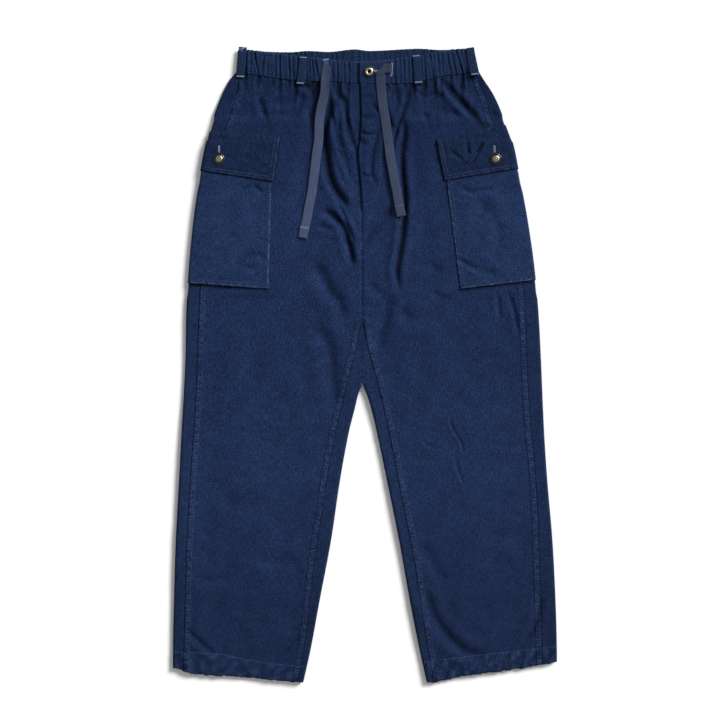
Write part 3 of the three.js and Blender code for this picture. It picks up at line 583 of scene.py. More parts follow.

# Materials


# Garment-dyed cotton twill. The yarns take the dye unevenly, which gives a salt-and-pepper grain
# with short upright slubs. Washing pales the raised edges and the pucker ridges along the seams.
# Painted shade darkens the creases, tucks and pucker hollows, and the cloth towards band and hems.
# The twill line is 0.5 mm, too fine to show, so it is drawn at 1.4 mm.
def cottonTwill(name, darkHex, midHex, paleHex, wearHex, heightShade=True):
    material, tree, shader = newMaterial(name)
    grain = addNode(tree, "ShaderNodeUVMap", {"uv_map": "grain"})
    layers = []
    for scale, detail in (((1 / 2.0, 1 / 2.3, 1), 1.0), ((1 / 1.9, 1 / 9.0, 1), 1.0), ((1 / 26.0, 1 / 34.0, 1), 3.0)):
        spread = addNode(tree, "ShaderNodeMapping", values={"Scale": scale}, links={"Vector": grain.outputs["UV"]})
        layers.append(addNode(tree, "ShaderNodeTexNoise",
                              values={"Scale": 1.0, "Detail": detail, "Roughness": 0.55},
                              links={"Vector": spread.outputs["Vector"]}))
    speckle, slub, cloud = layers
    yarn = addNode(tree, "ShaderNodeMix", {"data_type": "FLOAT"}, {"Factor": 0.36},
                   {"A": speckle.outputs["Fac"], "B": slub.outputs["Fac"]})
    tone = addNode(tree, "ShaderNodeMix", {"data_type": "FLOAT"}, {"Factor": 0.16},
                   {"A": yarn.outputs["Result"], "B": cloud.outputs["Fac"]})
    colours = addNode(tree, "ShaderNodeValToRGB", links={"Fac": tone.outputs["Result"]})
    stops = colours.color_ramp.elements
    stops[0].position = 0.36
    stops[0].color = hexColour(darkHex)
    stops[1].position = 0.64
    stops[1].color = hexColour(paleHex)
    middle = stops.new(0.5)
    middle.color = hexColour(midHex)
    # Puckers cross a felled seam about every 5 mm, over its 8 mm width. Their ridges are worn pale, and their hollows
    # are painted darker, painted shade.
    edge = addNode(tree, "ShaderNodeAttribute", {"attribute_name": "edge"})
    run = addNode(tree, "ShaderNodeAttribute", {"attribute_name": "run"})
    seamPlace = addNode(tree, "ShaderNodeCombineXYZ", links={"X": run.outputs["Fac"], "Y": edge.outputs["Fac"]})
    seamMap = addNode(tree, "ShaderNodeMapping", values={"Scale": (1 / 2.4, 1 / 7.0, 1), "Rotation": (0, 0, 0.25)},
                      links={"Vector": seamPlace.outputs["Vector"]})
    ridges = addNode(tree, "ShaderNodeTexNoise", values={"Scale": 1.0, "Detail": 0.5},
                     links={"Vector": seamMap.outputs["Vector"]})
    nearSeam = addNode(tree, "ShaderNodeMapRange", {"interpolation_type": "SMOOTHSTEP"},
                       {"From Min": 9.0, "From Max": 7.0}, {"Value": edge.outputs["Fac"]})
    ridgeWearAndShade = addNode(tree, "ShaderNodeMapRange",
                        values={"From Min": 0.34, "From Max": 0.66, "To Min": -0.24, "To Max": 0.3},
                        links={"Value": ridges.outputs["Fac"]})
    wear = addNode(tree, "ShaderNodeAttribute", {"attribute_name": "wear"})
    marks = addNode(tree, "ShaderNodeMath", {"operation": "MULTIPLY_ADD"}, None,
                    {0: ridgeWearAndShade.outputs["Result"], 1: nearSeam.outputs["Result"], 2: wear.outputs["Fac"]})
    wornAndHighlit = addNode(tree, "ShaderNodeMix", {"data_type": "RGBA"}, {"B": hexColour(wearHex)},
                   {"Factor": marks.outputs["Value"], "A": colours.outputs["Color"]})
    # Below nought the marks darken the colour: painted shade in creases, gathers, tucks and pucker hollows
    depth = addNode(tree, "ShaderNodeMapRange",
                    values={"From Min": -1.0, "From Max": 0.0, "To Min": 0.3, "To Max": 1.0},
                    links={"Value": marks.outputs["Value"]})
    creaseShaded = addNode(tree, "ShaderNodeMix", {"data_type": "RGBA", "blend_type": "MULTIPLY"}, {"Factor": 1.0},
                      {"A": wornAndHighlit.outputs["Result"], "B": depth.outputs["Result"]})
    base = creaseShaded.outputs["Result"]
    # Painted shade: the colour is darkened towards the band and the hems and kept lighter over the thighs
    if heightShade:
        place = addNode(tree, "ShaderNodeTexCoord")
        split = addNode(tree, "ShaderNodeSeparateXYZ", links={"Vector": place.outputs["Object"]})
        height = addNode(tree, "ShaderNodeMapRange", values={"From Min": -0.5, "From Max": 0.5},
                         links={"Value": split.outputs["Y"]})
        fade = addNode(tree, "ShaderNodeValToRGB", links={"Fac": height.outputs["Result"]})
        heightShadeStops = fade.color_ramp.elements
        heightShadeStops[0].position = 0.0
        heightShadeStops[0].color = (0.68, 0.7, 0.72, 1)
        heightShadeStops[1].position = 1.0
        heightShadeStops[1].color = (0.64, 0.69, 0.74, 1)
        for position, amount in ((0.12, (0.75, 0.76, 0.78)), (0.34, (0.98, 0.99, 1.0)), (0.5, (0.87, 0.9, 0.92)),
                                 (0.74, (0.92, 0.95, 0.98)), (0.87, (0.66, 0.74, 0.82))):
            heightShadeStops.new(position).color = (*amount, 1)
        shaded = addNode(tree, "ShaderNodeMix", {"data_type": "RGBA", "blend_type": "MULTIPLY"}, {"Factor": 1.0},
                         {"A": base, "B": fade.outputs["Color"]})
        base = shaded.outputs["Result"]
    tree.links.new(base, shader.inputs["Base Color"])
    twillMap = addNode(tree, "ShaderNodeMapping", values={"Scale": (1 / 1.4, 1 / 2.4, 1), "Rotation": (0, 0, 0.6)},
                       links={"Vector": grain.outputs["UV"]})
    twill = addNode(tree, "ShaderNodeTexWave", {"bands_direction": "X"},
                    {"Scale": 0.31, "Distortion": 2.2, "Detail": 1.5, "Detail Scale": 2.0},
                    {"Vector": twillMap.outputs["Vector"]})
    relief = addNode(tree, "ShaderNodeMix", {"data_type": "FLOAT"}, {"Factor": 0.6},
                     {"A": twill.outputs["Fac"], "B": yarn.outputs["Result"]})
    bump = addNode(tree, "ShaderNodeBump", values={"Strength": 0.4, "Distance": 0.0006},
                   links={"Height": relief.outputs["Result"]})
    ridgeRise = addNode(tree, "ShaderNodeMath", {"operation": "MULTIPLY"}, None,
                        {0: ridges.outputs["Fac"], 1: nearSeam.outputs["Result"]})
    seamBump = addNode(tree, "ShaderNodeBump", values={"Strength": 0.5, "Distance": 0.0025},
                       links={"Height": ridgeRise.outputs["Value"], "Normal": bump.outputs["Normal"]})
    tree.links.new(seamBump.outputs["Normal"], shader.inputs["Normal"])
    shader.inputs["Roughness"].default_value = 0.88
    shader.inputs["IOR"].default_value = 1.46
    shader.inputs["Specular IOR Level"].default_value = 0.1
    shader.inputs["Sheen Weight"].default_value = 0.02
    shader.inputs["Sheen Roughness"].default_value = 0.5
    shader.inputs["Sheen Tint"].default_value = hexColour("6E86BC")
    return material


# Woven cotton tape: a herringbone of slate yarn, with firm selvedges
def wovenTape(name, darkHex, paleHex):
    material, tree, shader = newMaterial(name)
    grain = addNode(tree, "ShaderNodeUVMap", {"uv_map": "grain"})
    boneMap = addNode(tree, "ShaderNodeMapping", values={"Scale": (1 / 3.4, 1 / 3.0, 1)},
                      links={"Vector": grain.outputs["UV"]})
    bone = addNode(tree, "ShaderNodeTexWave", {"bands_direction": "DIAGONAL"},
                   {"Scale": 0.5, "Distortion": 1.5, "Detail": 2.0}, {"Vector": boneMap.outputs["Vector"]})
    ribMap = addNode(tree, "ShaderNodeMapping", values={"Scale": (1 / 2.5, 1 / 14.0, 1)},
                     links={"Vector": grain.outputs["UV"]})
    rib = addNode(tree, "ShaderNodeTexNoise", values={"Scale": 1.0, "Detail": 3.0},
                  links={"Vector": ribMap.outputs["Vector"]})
    tone = addNode(tree, "ShaderNodeMix", {"data_type": "FLOAT"}, {"Factor": 0.55},
                   {"A": bone.outputs["Fac"], "B": rib.outputs["Fac"]})
    colours = addNode(tree, "ShaderNodeValToRGB", links={"Fac": tone.outputs["Result"]})
    stops = colours.color_ramp.elements
    stops[0].position = 0.15
    stops[0].color = hexColour(darkHex)
    stops[1].position = 0.85
    stops[1].color = hexColour(paleHex)
    wear = addNode(tree, "ShaderNodeAttribute", {"attribute_name": "wear"})
    # Below nought the attribute darkens the tape, painted shade; above nought it paints the pale stitching at the tip
    shade = addNode(tree, "ShaderNodeMapRange",
                    values={"From Min": -1.0, "From Max": 0.0, "To Min": 0.2, "To Max": 1.0},
                    links={"Value": wear.outputs["Fac"]})
    shaded = addNode(tree, "ShaderNodeMix", {"data_type": "RGBA", "blend_type": "MULTIPLY"}, {"Factor": 1.0},
                     {"A": colours.outputs["Color"], "B": shade.outputs["Result"]})
    sewn = addNode(tree, "ShaderNodeMix", {"data_type": "RGBA"}, {"B": hexColour("7C8AA6")},
                   {"Factor": wear.outputs["Fac"], "A": shaded.outputs["Result"]})
    tree.links.new(sewn.outputs["Result"], shader.inputs["Base Color"])
    bump = addNode(tree, "ShaderNodeBump", values={"Strength": 0.4, "Distance": 0.0005},
                   links={"Height": tone.outputs["Result"]})
    tree.links.new(bump.outputs["Normal"], shader.inputs["Normal"])
    shader.inputs["Roughness"].default_value = 0.8
    shader.inputs["IOR"].default_value = 1.46
    shader.inputs["Specular IOR Level"].default_value = 0.2
    shader.inputs["Sheen Weight"].default_value = 0.08
    return material


# Spun polyester sewing thread: a slightly glossy twist, uneven in tone along its length
def sewingThread(name, darkHex, paleHex):
    material, tree, shader = newMaterial(name)
    place = addNode(tree, "ShaderNodeTexCoord")
    twist = addNode(tree, "ShaderNodeTexNoise", values={"Scale": 900.0, "Detail": 2.0},
                    links={"Vector": place.outputs["Object"]})
    colours = addNode(tree, "ShaderNodeValToRGB", links={"Fac": twist.outputs["Fac"]})
    colours.color_ramp.elements[0].position = 0.35
    colours.color_ramp.elements[0].color = hexColour(darkHex)
    colours.color_ramp.elements[1].position = 0.65
    colours.color_ramp.elements[1].color = hexColour(paleHex)
    tree.links.new(colours.outputs["Color"], shader.inputs["Base Color"])
    shader.inputs["Roughness"].default_value = 0.55
    shader.inputs["Specular IOR Level"].default_value = 0.3
    return material


# Nickel-plated brass, stamped and tumbled: dark with tarnish in its hollows, and brighter on its raised rings, partly
# where hands rub it and partly as painted highlight
def platedBrass(name, darkHex, paleHex):
    material, tree, shader = newMaterial(name)
    place = addNode(tree, "ShaderNodeTexCoord")
    tarnish = addNode(tree, "ShaderNodeTexNoise", values={"Scale": 420.0, "Detail": 4.0, "Roughness": 0.6},
                      links={"Vector": place.outputs["Object"]})
    wornAndHighlit = addNode(tree, "ShaderNodeAttribute", {"attribute_name": "wear"})
    tone = addNode(tree, "ShaderNodeMath", {"operation": "MULTIPLY_ADD", "use_clamp": True},
                   {1: 0.35}, {0: tarnish.outputs["Fac"], 2: wornAndHighlit.outputs["Fac"]})
    colours = addNode(tree, "ShaderNodeValToRGB", links={"Fac": tone.outputs["Value"]})
    colours.color_ramp.elements[0].position = 0.15
    colours.color_ramp.elements[0].color = hexColour(darkHex)
    colours.color_ramp.elements[1].position = 0.95
    colours.color_ramp.elements[1].color = hexColour(paleHex)
    tree.links.new(colours.outputs["Color"], shader.inputs["Base Color"])
    # Knocks from tumbling, a millimetre across, break up what the metal mirrors
    knocks = addNode(tree, "ShaderNodeTexNoise", values={"Scale": 750.0, "Detail": 2.0},
                     links={"Vector": place.outputs["Object"]})
    bump = addNode(tree, "ShaderNodeBump", values={"Strength": 0.55, "Distance": 0.0006},
                   links={"Height": knocks.outputs["Fac"]})
    tree.links.new(bump.outputs["Normal"], shader.inputs["Normal"])
    shader.inputs["Metallic"].default_value = 1.0
    shader.inputs["Roughness"].default_value = 0.3
    return material


twillFront = cottonTwill("cottonTwillFront", "0D172D", "172645", "24365D", "425377")
twillBack = cottonTwill("cottonTwillBack", "0C162B", "162441", "213358", "425377")
twillBand = cottonTwill("cottonTwillBand", "0B162B", "132340", "203455", "3C4C6D", heightShade=False)
twillPocket = cottonTwill("cottonTwillPocket", "0D1830", "192A49", "273C64", "5A6A88")
twillFlap = cottonTwill("cottonTwillFlap", "081325", "101D38", "1A2D4F", "3C4C6D", heightShade=False)
twillLoop = cottonTwill("cottonTwillLoop", "0C1629", "15233E", "223353", "3C4C6D", heightShade=False)
slateTape = wovenTape("wovenCottonTape", "293147", "434F6C")
navyThread = sewingThread("navyThread", "131E37", "24365B")
fadedThread = sewingThread("fadedThread", "35456A", "5B6C90")
paleThread = sewingThread("paleThread", "6F7F98", "A3B1C3")
buttonMetal = platedBrass("platedBrass", "0E0E11", "B5AF9F")
print("materials made")


# Cloth pieces


# Turns a bmesh into a finished piece that rides on the frame
def finishPiece(bm, name, material, nodes=()):
    mesh = bpy.data.meshes.new(name)
    bm.to_mesh(mesh)
    bm.free()
    mesh.polygons.foreach_set("use_smooth", [True] * len(mesh.polygons))
    mesh.materials.append(material)
    piece = bpy.data.objects.new(name, mesh)
    bpy.context.scene.collection.objects.link(piece)
    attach(piece, "root")
    if nodes:
        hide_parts(*nodes)
    return piece


# A grid is laid out by the place function, which takes arrays of shares across and down
# and gives the points and what the material needs to know at each: how pale it is with wear
# and painted highlight (below nought, how much painted shade darkens it), and how far it lies from a sewn edge and
# along it
def clothPiece(name, columns, rows, place, size, wall, material, nodes=(), keep=None):
    bm = bmesh.new()
    uvLayer = bm.loops.layers.uv.new("grain")
    bmesh.ops.create_grid(bm, x_segments=columns, y_segments=rows, size=0.5, calc_uvs=True)
    bm.verts.ensure_lookup_table()
    start = np.array([vert.co[:] for vert in bm.verts])
    u, v = start[:, 0] + 0.5, 0.5 - start[:, 1]
    x, y, z, marks = place(u, v)
    placed = np.stack([x, y, z], 1) * mm
    for key, usual in (("wear", 0.0), ("edge", 99.0), ("run", 0.0)):
        layer = bm.verts.layers.float.new(key)
        values = np.broadcast_to(marks.get(key, usual), u.shape)
        for i, vert in enumerate(bm.verts):
            vert[layer] = float(values[i])
    for i, vert in enumerate(bm.verts):
        vert.co = placed[i]
    across = marks.get("across", u * size[0])
    for face in bm.faces:
        for loop in face.loops:
            loop[uvLayer].uv = (across[loop.vert.index], (1 - v[loop.vert.index]) * size[1])
    if keep is not None:
        dropped = [f for f in bm.faces if not keep(np.mean([u[p.index] for p in f.verts]),
                                                   np.mean([y[p.index] for p in f.verts]))]
        bmesh.ops.delete(bm, geom=dropped, context="FACES")
    bm.normal_update()
    bm.faces.ensure_lookup_table()
    highest = max(bm.faces, key=lambda f: f.calc_center_median().z)
    if highest.normal.z < 0:
        bmesh.ops.reverse_faces(bm, faces=bm.faces[:])
    piece = finishPiece(bm, name, material, nodes)
    thick = piece.modifiers.new("wall", "SOLIDIFY")
    thick.thickness = wall * mm
    thick.offset = -1
    return piece


# How much painted shade darkens the cloth in its folds and gathers
def creaseShade(x, y):
    dark = foldShape(panelFolds, x, y)[1]
    return np.maximum(dark, np.clip(-gatherTail(x, y) / 2.4, 0, 0.95))


# Painted shadow in the tucks beside a flap's front edge and below a pocket
def tuckShadow(side, x, y):
    own, sign = flaps[side], sides[side]["sign"]
    beside = np.exp(-((sign * (x - flapEdge(side, y)) + 0.6) / 1.8) ** 2)
    beside = beside * plateau(y, own["lowFront"], 2, own["topFront"], 4)
    edgeX = pocketEdge(side, y)
    share = (x - edgeX) / (outerEdge(side, y) - edgeX)
    low = mix(pocket["frontLow"], sides[side]["pocketLow"], share)
    below = np.exp(-((low - y - 1.8) / 2.8) ** 2) * ramp(-0.06, 0.02, share)
    below *= mix(0.6, 1.9, ramp(0.3, 0.6, share)) if side == "left" else 0.8
    return np.maximum(0.8 * beside, below)


# The hem edge is puckered by its stitching. Its ropes are worn pale, and painted shade darkens the cloth between
# them.
def hemScallop(x, row):
    return 0.75 * unevenWaves(x, 0.2 * x, 61, 9, 5.0, 19.0) * ramp(-478, -500, row)


def hemWearAndShade(side, x, y):
    _, below, _, twist = hemShape(side, x, y)
    inHem = ramp(-415, -440, y) * ramp(-2, 3, below)
    return (0.3 * np.clip(twist, 0, 1) - 0.7 * np.clip(-twist - 0.2, 0, 1)) * inHem


# The nearest of a piece's sewn lines: how far off it is, and how far along
def sewnLine(lines, x, y):
    edge = np.full(x.shape, 99.0)
    run = np.zeros(x.shape)
    for line in lines:
        distance, _, place, _ = nearLine(line, x, y)
        run = np.where(distance < edge, place, run)
        edge = np.minimum(edge, distance)
    return edge, run


lapShare = 0.9  # on the left front, the columns past this are the under lap of the fly


def frontPlace(side):
    sign = sides[side]["sign"]

    def innerEdge(y):
        seam = along(inseams, "y", side, y) + sign * 0.05
        centre = along(centreFront, "y", "x", y) + (1.3 if side == "left" else 0.0)
        return mix(centre, seam, ramp(72, 60, y))

    def place(u, v):
        row = mix(cloth["topRow"], cloth["lowRow"], v)
        outerX, _ = edgePoint(lambda y: along(sideSeams, "y", side, y) - sign * 0.05, row)
        innerX, _ = edgePoint(innerEdge, row)
        if side == "left":
            lap = np.clip((u - lapShare) / (1 - lapShare), 0, 1)
            x = mix(outerX, innerX, np.clip(u / lapShare, 0, 1)) + fly["lap"] * lap
        else:
            lap = np.zeros(u.shape)
            x = mix(outerX, innerX, 1 - u)
        y = bendRow(x, row) + hemScallop(x, row)
        z = topHeight(side, x, y) - 0.4 * ramp(0, 0.2, lap)
        # Below the fly the two fronts meet almost level
        beyond = x - along(centreFront, "y", "x", y)
        level = ramp(62, 74, y) * ramp(264, 244, y)
        if side == "left":
            z -= 0.9 * ramp(-4.5, -0.5, beyond) * ramp(62, 74, y)
        else:
            z -= 0.75 * ramp(3.5, 0.0, beyond) * level
        edge, run = sewnLine([seamLines[side]["side"], seamLines[side]["inner"]], x, y)
        z += 0.5 * (1 - ramp(8.0, 9.6, edge))
        wear = hemWearAndShade(side, x, y) - creaseShade(x, y) - tuckShadow(side, x, y)
        # Painted shadow of the fly's lap darkens the left front along the centre line
        if side == "left":
            wear -= 0.8 * np.exp(-(np.minimum(beyond, 0) / 2.2) ** 2) * ramp(262, 300, y)
        return x, y, z, {"wear": wear, "edge": edge, "run": run}

    return place


def keepFront(u, y):
    return u < lapShare or y >= fly["bottom"]


def sideTurn(side, row):
    sign = sides[side]["sign"]
    edgeX, edgeY = edgePoint(lambda y: outerEdge(side, y), row)
    topZ = topHeight(side, edgeX - sign * 2, edgeY)
    bottomZ = bottomHeight(side, edgeX, edgeY)
    return edgeX - sign * (topZ - bottomZ) / 2, edgeY, topZ, bottomZ


def turnPoint(centreX, sign, topZ, bottomZ, angle, extra=0.0):
    reach = (topZ - bottomZ) / 2 + extra
    return centreX + sign * reach * np.cos(angle), (topZ + bottomZ) / 2 + reach * np.sin(angle)


# A back is cut into parts across: beside the side seam, the side turn, the floor, the leg
# turn and beside the inseam. A pocket or flap has its front, its turn and its underside.
backParts = [0.0, 0.15, 0.28, 0.62, 0.75, 1.0]
wrapParts = [0.0, 0.72, 0.84, 1.0]


# How far across each part a place lies
def shares(parts, u):
    return [np.clip((u - a) / (b - a), 0, 1) for a, b in zip(parts[:-1], parts[1:])]


def backPlace(side):
    sign = sides[side]["sign"]

    def place(u, v):
        row = mix(cloth["topRow"], cloth["lowRow"], v)
        turnX, turnY, topZ, bottomZ = sideTurn(side, row)
        share = shares(backParts, u)
        seamX, seamY = edgePoint(lambda y: along(sideSeams, "y", side, y) - sign * 1.4, row)
        above = row > crotch["y"]
        edgeX, edgeY = edgePoint(lambda y: legEdge(side, y), row)
        legTop = topHeight(side, edgeX + sign * 2, edgeY)
        legX = edgeX + sign * legTop / 2
        centreX = np.full(u.shape, crotch["x"] - sign * 0.05)
        inseamX, inseamY = edgePoint(lambda y: along(inseams, "y", side, y) + sign * 1.4, row)

        x = mix(seamX, turnX, share[0])
        y = mix(seamY, turnY, share[0])
        z = topHeight(side, x, y)
        beyond = sign * (x - along(sideSeams, "y", side, y))
        z = z - 1.3 * ramp(1.2, -0.6, beyond) * (u <= backParts[1])
        onTurn = (u > backParts[1]) & (u <= backParts[2])
        tx, tz = turnPoint(turnX, sign, topZ, bottomZ, math.pi / 2 - math.pi * share[1])
        x, y, z = choose(onTurn, (tx, turnY, tz), (x, y, z))
        onFloor = (u > backParts[2]) & (u <= backParts[3])
        farX = np.where(above, centreX, legX)
        fx = mix(turnX, farX, share[2])
        fy = bendRow(fx, row, backSeam)
        fy = mix(turnY, fy, ramp(0, 0.1, share[2]))
        x, y, z = choose(onFloor, (fx, fy, bottomHeight(side, fx, fy)), (x, y, z))
        onTop = u > backParts[4] - 0.001
        onLeg = (u > backParts[3]) & ~onTop
        lx, lz = turnPoint(legX, -sign, legTop, 0.0, -math.pi / 2 + math.pi * share[3])
        x, y, z = choose(onLeg, (lx, edgeY, lz), (x, y, z))
        nearX = np.where(above, centreX, legX)
        ix = mix(nearX, inseamX, share[4])
        iy = mix(np.where(above, row, edgeY), inseamY, share[4])
        x, y = np.where(onTop, ix, x), np.where(onTop, iy, y)
        # Between the legs the two backs meet at one height
        meet = np.exp(-((x - crotch["x"]) / 5) ** 2) * ramp(-60, -30, y) * onTop
        other = "right" if side == "left" else "left"
        inside = sign * (x - along(inseams, "y", side, y))
        sunk = 0.5 * ramp(30, 60, y) + 1.3 * ramp(-1.2, 0.6, inside)
        z = np.where(onTop, mix(topHeight(side, x, y), topHeight(other, x, y), 0.5 * meet) - sunk, z)
        y = y + hemScallop(x + 3, row)
        shown = (u <= backParts[1]) | onTop
        wear = (hemWearAndShade(side, x, y) - creaseShade(x, y) - tuckShadow(side, x, y)) * shown
        across = np.interp(u, backParts, (0, 20, 31, 231, 242, 260))
        return x, y, z, {"wear": wear, "across": across}

    return place


def keepBack(u, y):
    if u < backParts[3]:
        return True
    if u < backParts[4]:
        return y <= crotch["y"]
    return y <= 76


for side, panel in (("left", "Left"), ("right", "Right")):
    front = clothPiece("front" + panel, 140, 345, frontPlace(side), (240, 945), cloth["wall"],
                       twillFront, ["front_" + side], keepFront if side == "left" else None)
    back = clothPiece("back" + panel, 76, 340, backPlace(side), (330, 945), cloth["wall"],
                      twillBack, ["back_" + side], keepBack)
print("fronts and backs laid")


# Waistband

band = {"inside": 2.9, "puff": 0.9, "ripple": 0.22}


def gatherDepth(x, t):
    total = np.zeros(x.shape)
    for i, gather in enumerate(gathers):
        bow = 0.9 * math.sin(2.3 * i) * np.sin(np.pi * t)
        away = x - mix(gather["foot"], gather["top"], t) - bow
        strength = 0.75 + 0.25 * np.cos(2 * np.pi * t + i)
        total -= gather["depth"] * strength * np.exp(-(away / gather["width"]) ** 2)
        total += 0.25 * gather["depth"] * np.exp(-((np.abs(away) - 3.0) / 1.8) ** 2)
    return total


def bandInside(x):
    return np.where(x < -8, band["inside"], mix(5.0, band["inside"], ramp(22, 44, x)))


def bandHeight(x, t):
    calm = ramp(-16, -24, x) + ramp(20, 30, x)
    body = bandInside(x) + 2.6 + band["puff"] * np.sin(np.pi * np.clip(t, 0, 1))
    fine = band["ripple"] * np.sin(x / 1.25 + 2.0 * np.sin(x / 9)) * calm
    return body + (gatherDepth(x, t) + fine) * calm


def bandShare(x, y):
    low, high = frontSeam(x), along(frontBandTop, "x", "y", x)
    return (y - low) / (high - low)


def frontBandPlace(fromX, toX):
    def place(u, v):
        t = 1 - v
        lean = 0.02 * t * ramp(120, 160, mix(fromX, toX, u))
        x = mix(fromX, toX, u) * (1 - lean)
        low = frontSeam(x) + 0.15
        high = along(frontBandTop, "x", "y", x) + 0.35 * gatherDepth(x, np.ones(x.shape)) * ramp(20, 40, np.abs(x))
        y = mix(low, high, t)
        z = bandHeight(x, t)
        if fromX < -100:
            z = np.where(x > -15, mix(z, band["inside"] + 1.7, ramp(-18, -12, x)), z)
        z = z - 1.2 * ramp(0.94, 1.0, t) - 0.9 * ramp(0.06, 0.0, t)
        # Painted shade darkens the gather hollows of the band
        hollow = np.clip(-gatherDepth(x, t) / 2.0, 0, 0.9) * ramp(20, 34, np.abs(x - 2))
        wear = 0.12 * np.exp(-((t - 0.97) / 0.04) ** 2) - hollow
        return x, y, z, {"wear": wear, "edge": 5.5 + 41 * t, "run": x}
    return place


def backBandPlace(u, v):
    t = 1 - v
    ends = 0.07
    leftTurn, rightTurn = np.clip(u / ends, 0, 1), np.clip((1 - u) / ends, 0, 1)
    middle = np.clip((u - ends) / (1 - 2 * ends), 0, 1)
    leftEdge = mix(-202.8, -200.0, t)
    rightEdge = mix(180.5, 172.5, t)
    topZ = 6.2
    x = mix(leftEdge + topZ / 2, rightEdge - topZ / 2, middle)
    low = backSeam(x) + 0.5
    high = along(backBandTop, "x", "y", x) + 0.3 * gatherDepth(x, np.ones(x.shape))
    y = mix(low, high, t)
    z = np.zeros(u.shape)
    for turn, edge, sign, inside in ((leftTurn, leftEdge, -1, u < ends), (rightTurn, rightEdge, 1, u > 1 - ends)):
        angle = math.pi / 2 - math.pi * turn
        tx, tz = turnPoint(edge - sign * topZ / 2, sign, topZ, 0.0, angle)
        x, z = np.where(inside, tx, x), np.where(inside, tz, z)
    return x, y, z, {}


leftBand = clothPiece("waistbandLeft", 300, 26, frontBandPlace(-196.8, 18.0), (240, 44), cloth["bandWall"],
                      twillBand, ["waistband_front_left"])
rightBand = clothPiece("waistbandRight", 250, 26, frontBandPlace(-8.0, 172.8), (210, 44), cloth["bandWall"],
                       twillBand, ["waistband_front_right"])
print("waistband front gathered")


# The back band is one strip whose inner face, seen over the front band, is gathered too
def insideBandPlace(u, v):
    t = 1 - v
    x = mix(-199.6, 172.0, u)
    low = backSeam(x) + 0.8
    high = along(backBandTop, "x", "y", x) + 0.3 * gatherDepth(x, np.ones(x.shape)) - 0.3
    y = mix(low, high, t)
    gathered = gatherDepth(x + 2.5, 1 - t) + 0.5 * np.sin(x / 1.6 + 2 * np.sin(x / 8)) - 0.3
    z = 2.6 + 0.5 * gathered + 0.3 * np.sin(np.pi * t)
    # Painted shade darkens the gather hollows of the inner face
    return x, y, z, {"wear": -np.clip(-gathered / 2.2, 0, 0.85)}


backBand = clothPiece("waistbandBack", 420, 20, backBandPlace, (520, 44), 1.3, twillBand, ["waistband_back"])
insideBand = clothPiece("waistbandInside", 420, 20, insideBandPlace, (440, 44), 1.0, twillBand)
print("waistband done")


# Cargo pockets and flaps


def wrapPlace(side, parts, layerAt):
    sign, wrap = sides[side]["sign"], sides[side]["wrap"]
    rowY, frontEdge, shape, wearAndPaintedLightAt = parts

    def place(u, v):
        share = shares(wrapParts, u)
        sideY = rowY(np.ones(u.shape), v)
        turnX, turnY, topZ, bottomZ = sideTurn(side, sideY)
        y = rowY(share[0], v)
        edgeX, _, _, _ = sideTurn(side, y)
        x = mix(frontEdge(y), edgeX, share[0])
        z = topHeight(side, turnX, y) + cloth["layerStep"] * layerAt(y) + shape(x, y, share[0], v)
        extra = cloth["layerStep"] * layerAt(turnY)
        onTurn = (u > wrapParts[1]) & (u <= wrapParts[2])
        tx, tz = turnPoint(turnX, sign, topZ, bottomZ, math.pi / 2 - math.pi * share[1], extra)
        x, y, z = choose(onTurn, (tx, turnY, tz), (x, y, z))
        under = u > wrapParts[2]
        bx = turnX - sign * (wrap - 4) * share[2]
        x, y, z = choose(under, (bx, turnY, bottomZ - extra), (x, y, z))
        wear, edge = wearAndPaintedLightAt(x, y, share[0], v)
        shown = u <= wrapParts[1]
        return x, y, z, {"wear": wear * shown, "edge": np.where(shown, edge, 99), "run": x + y}

    return place


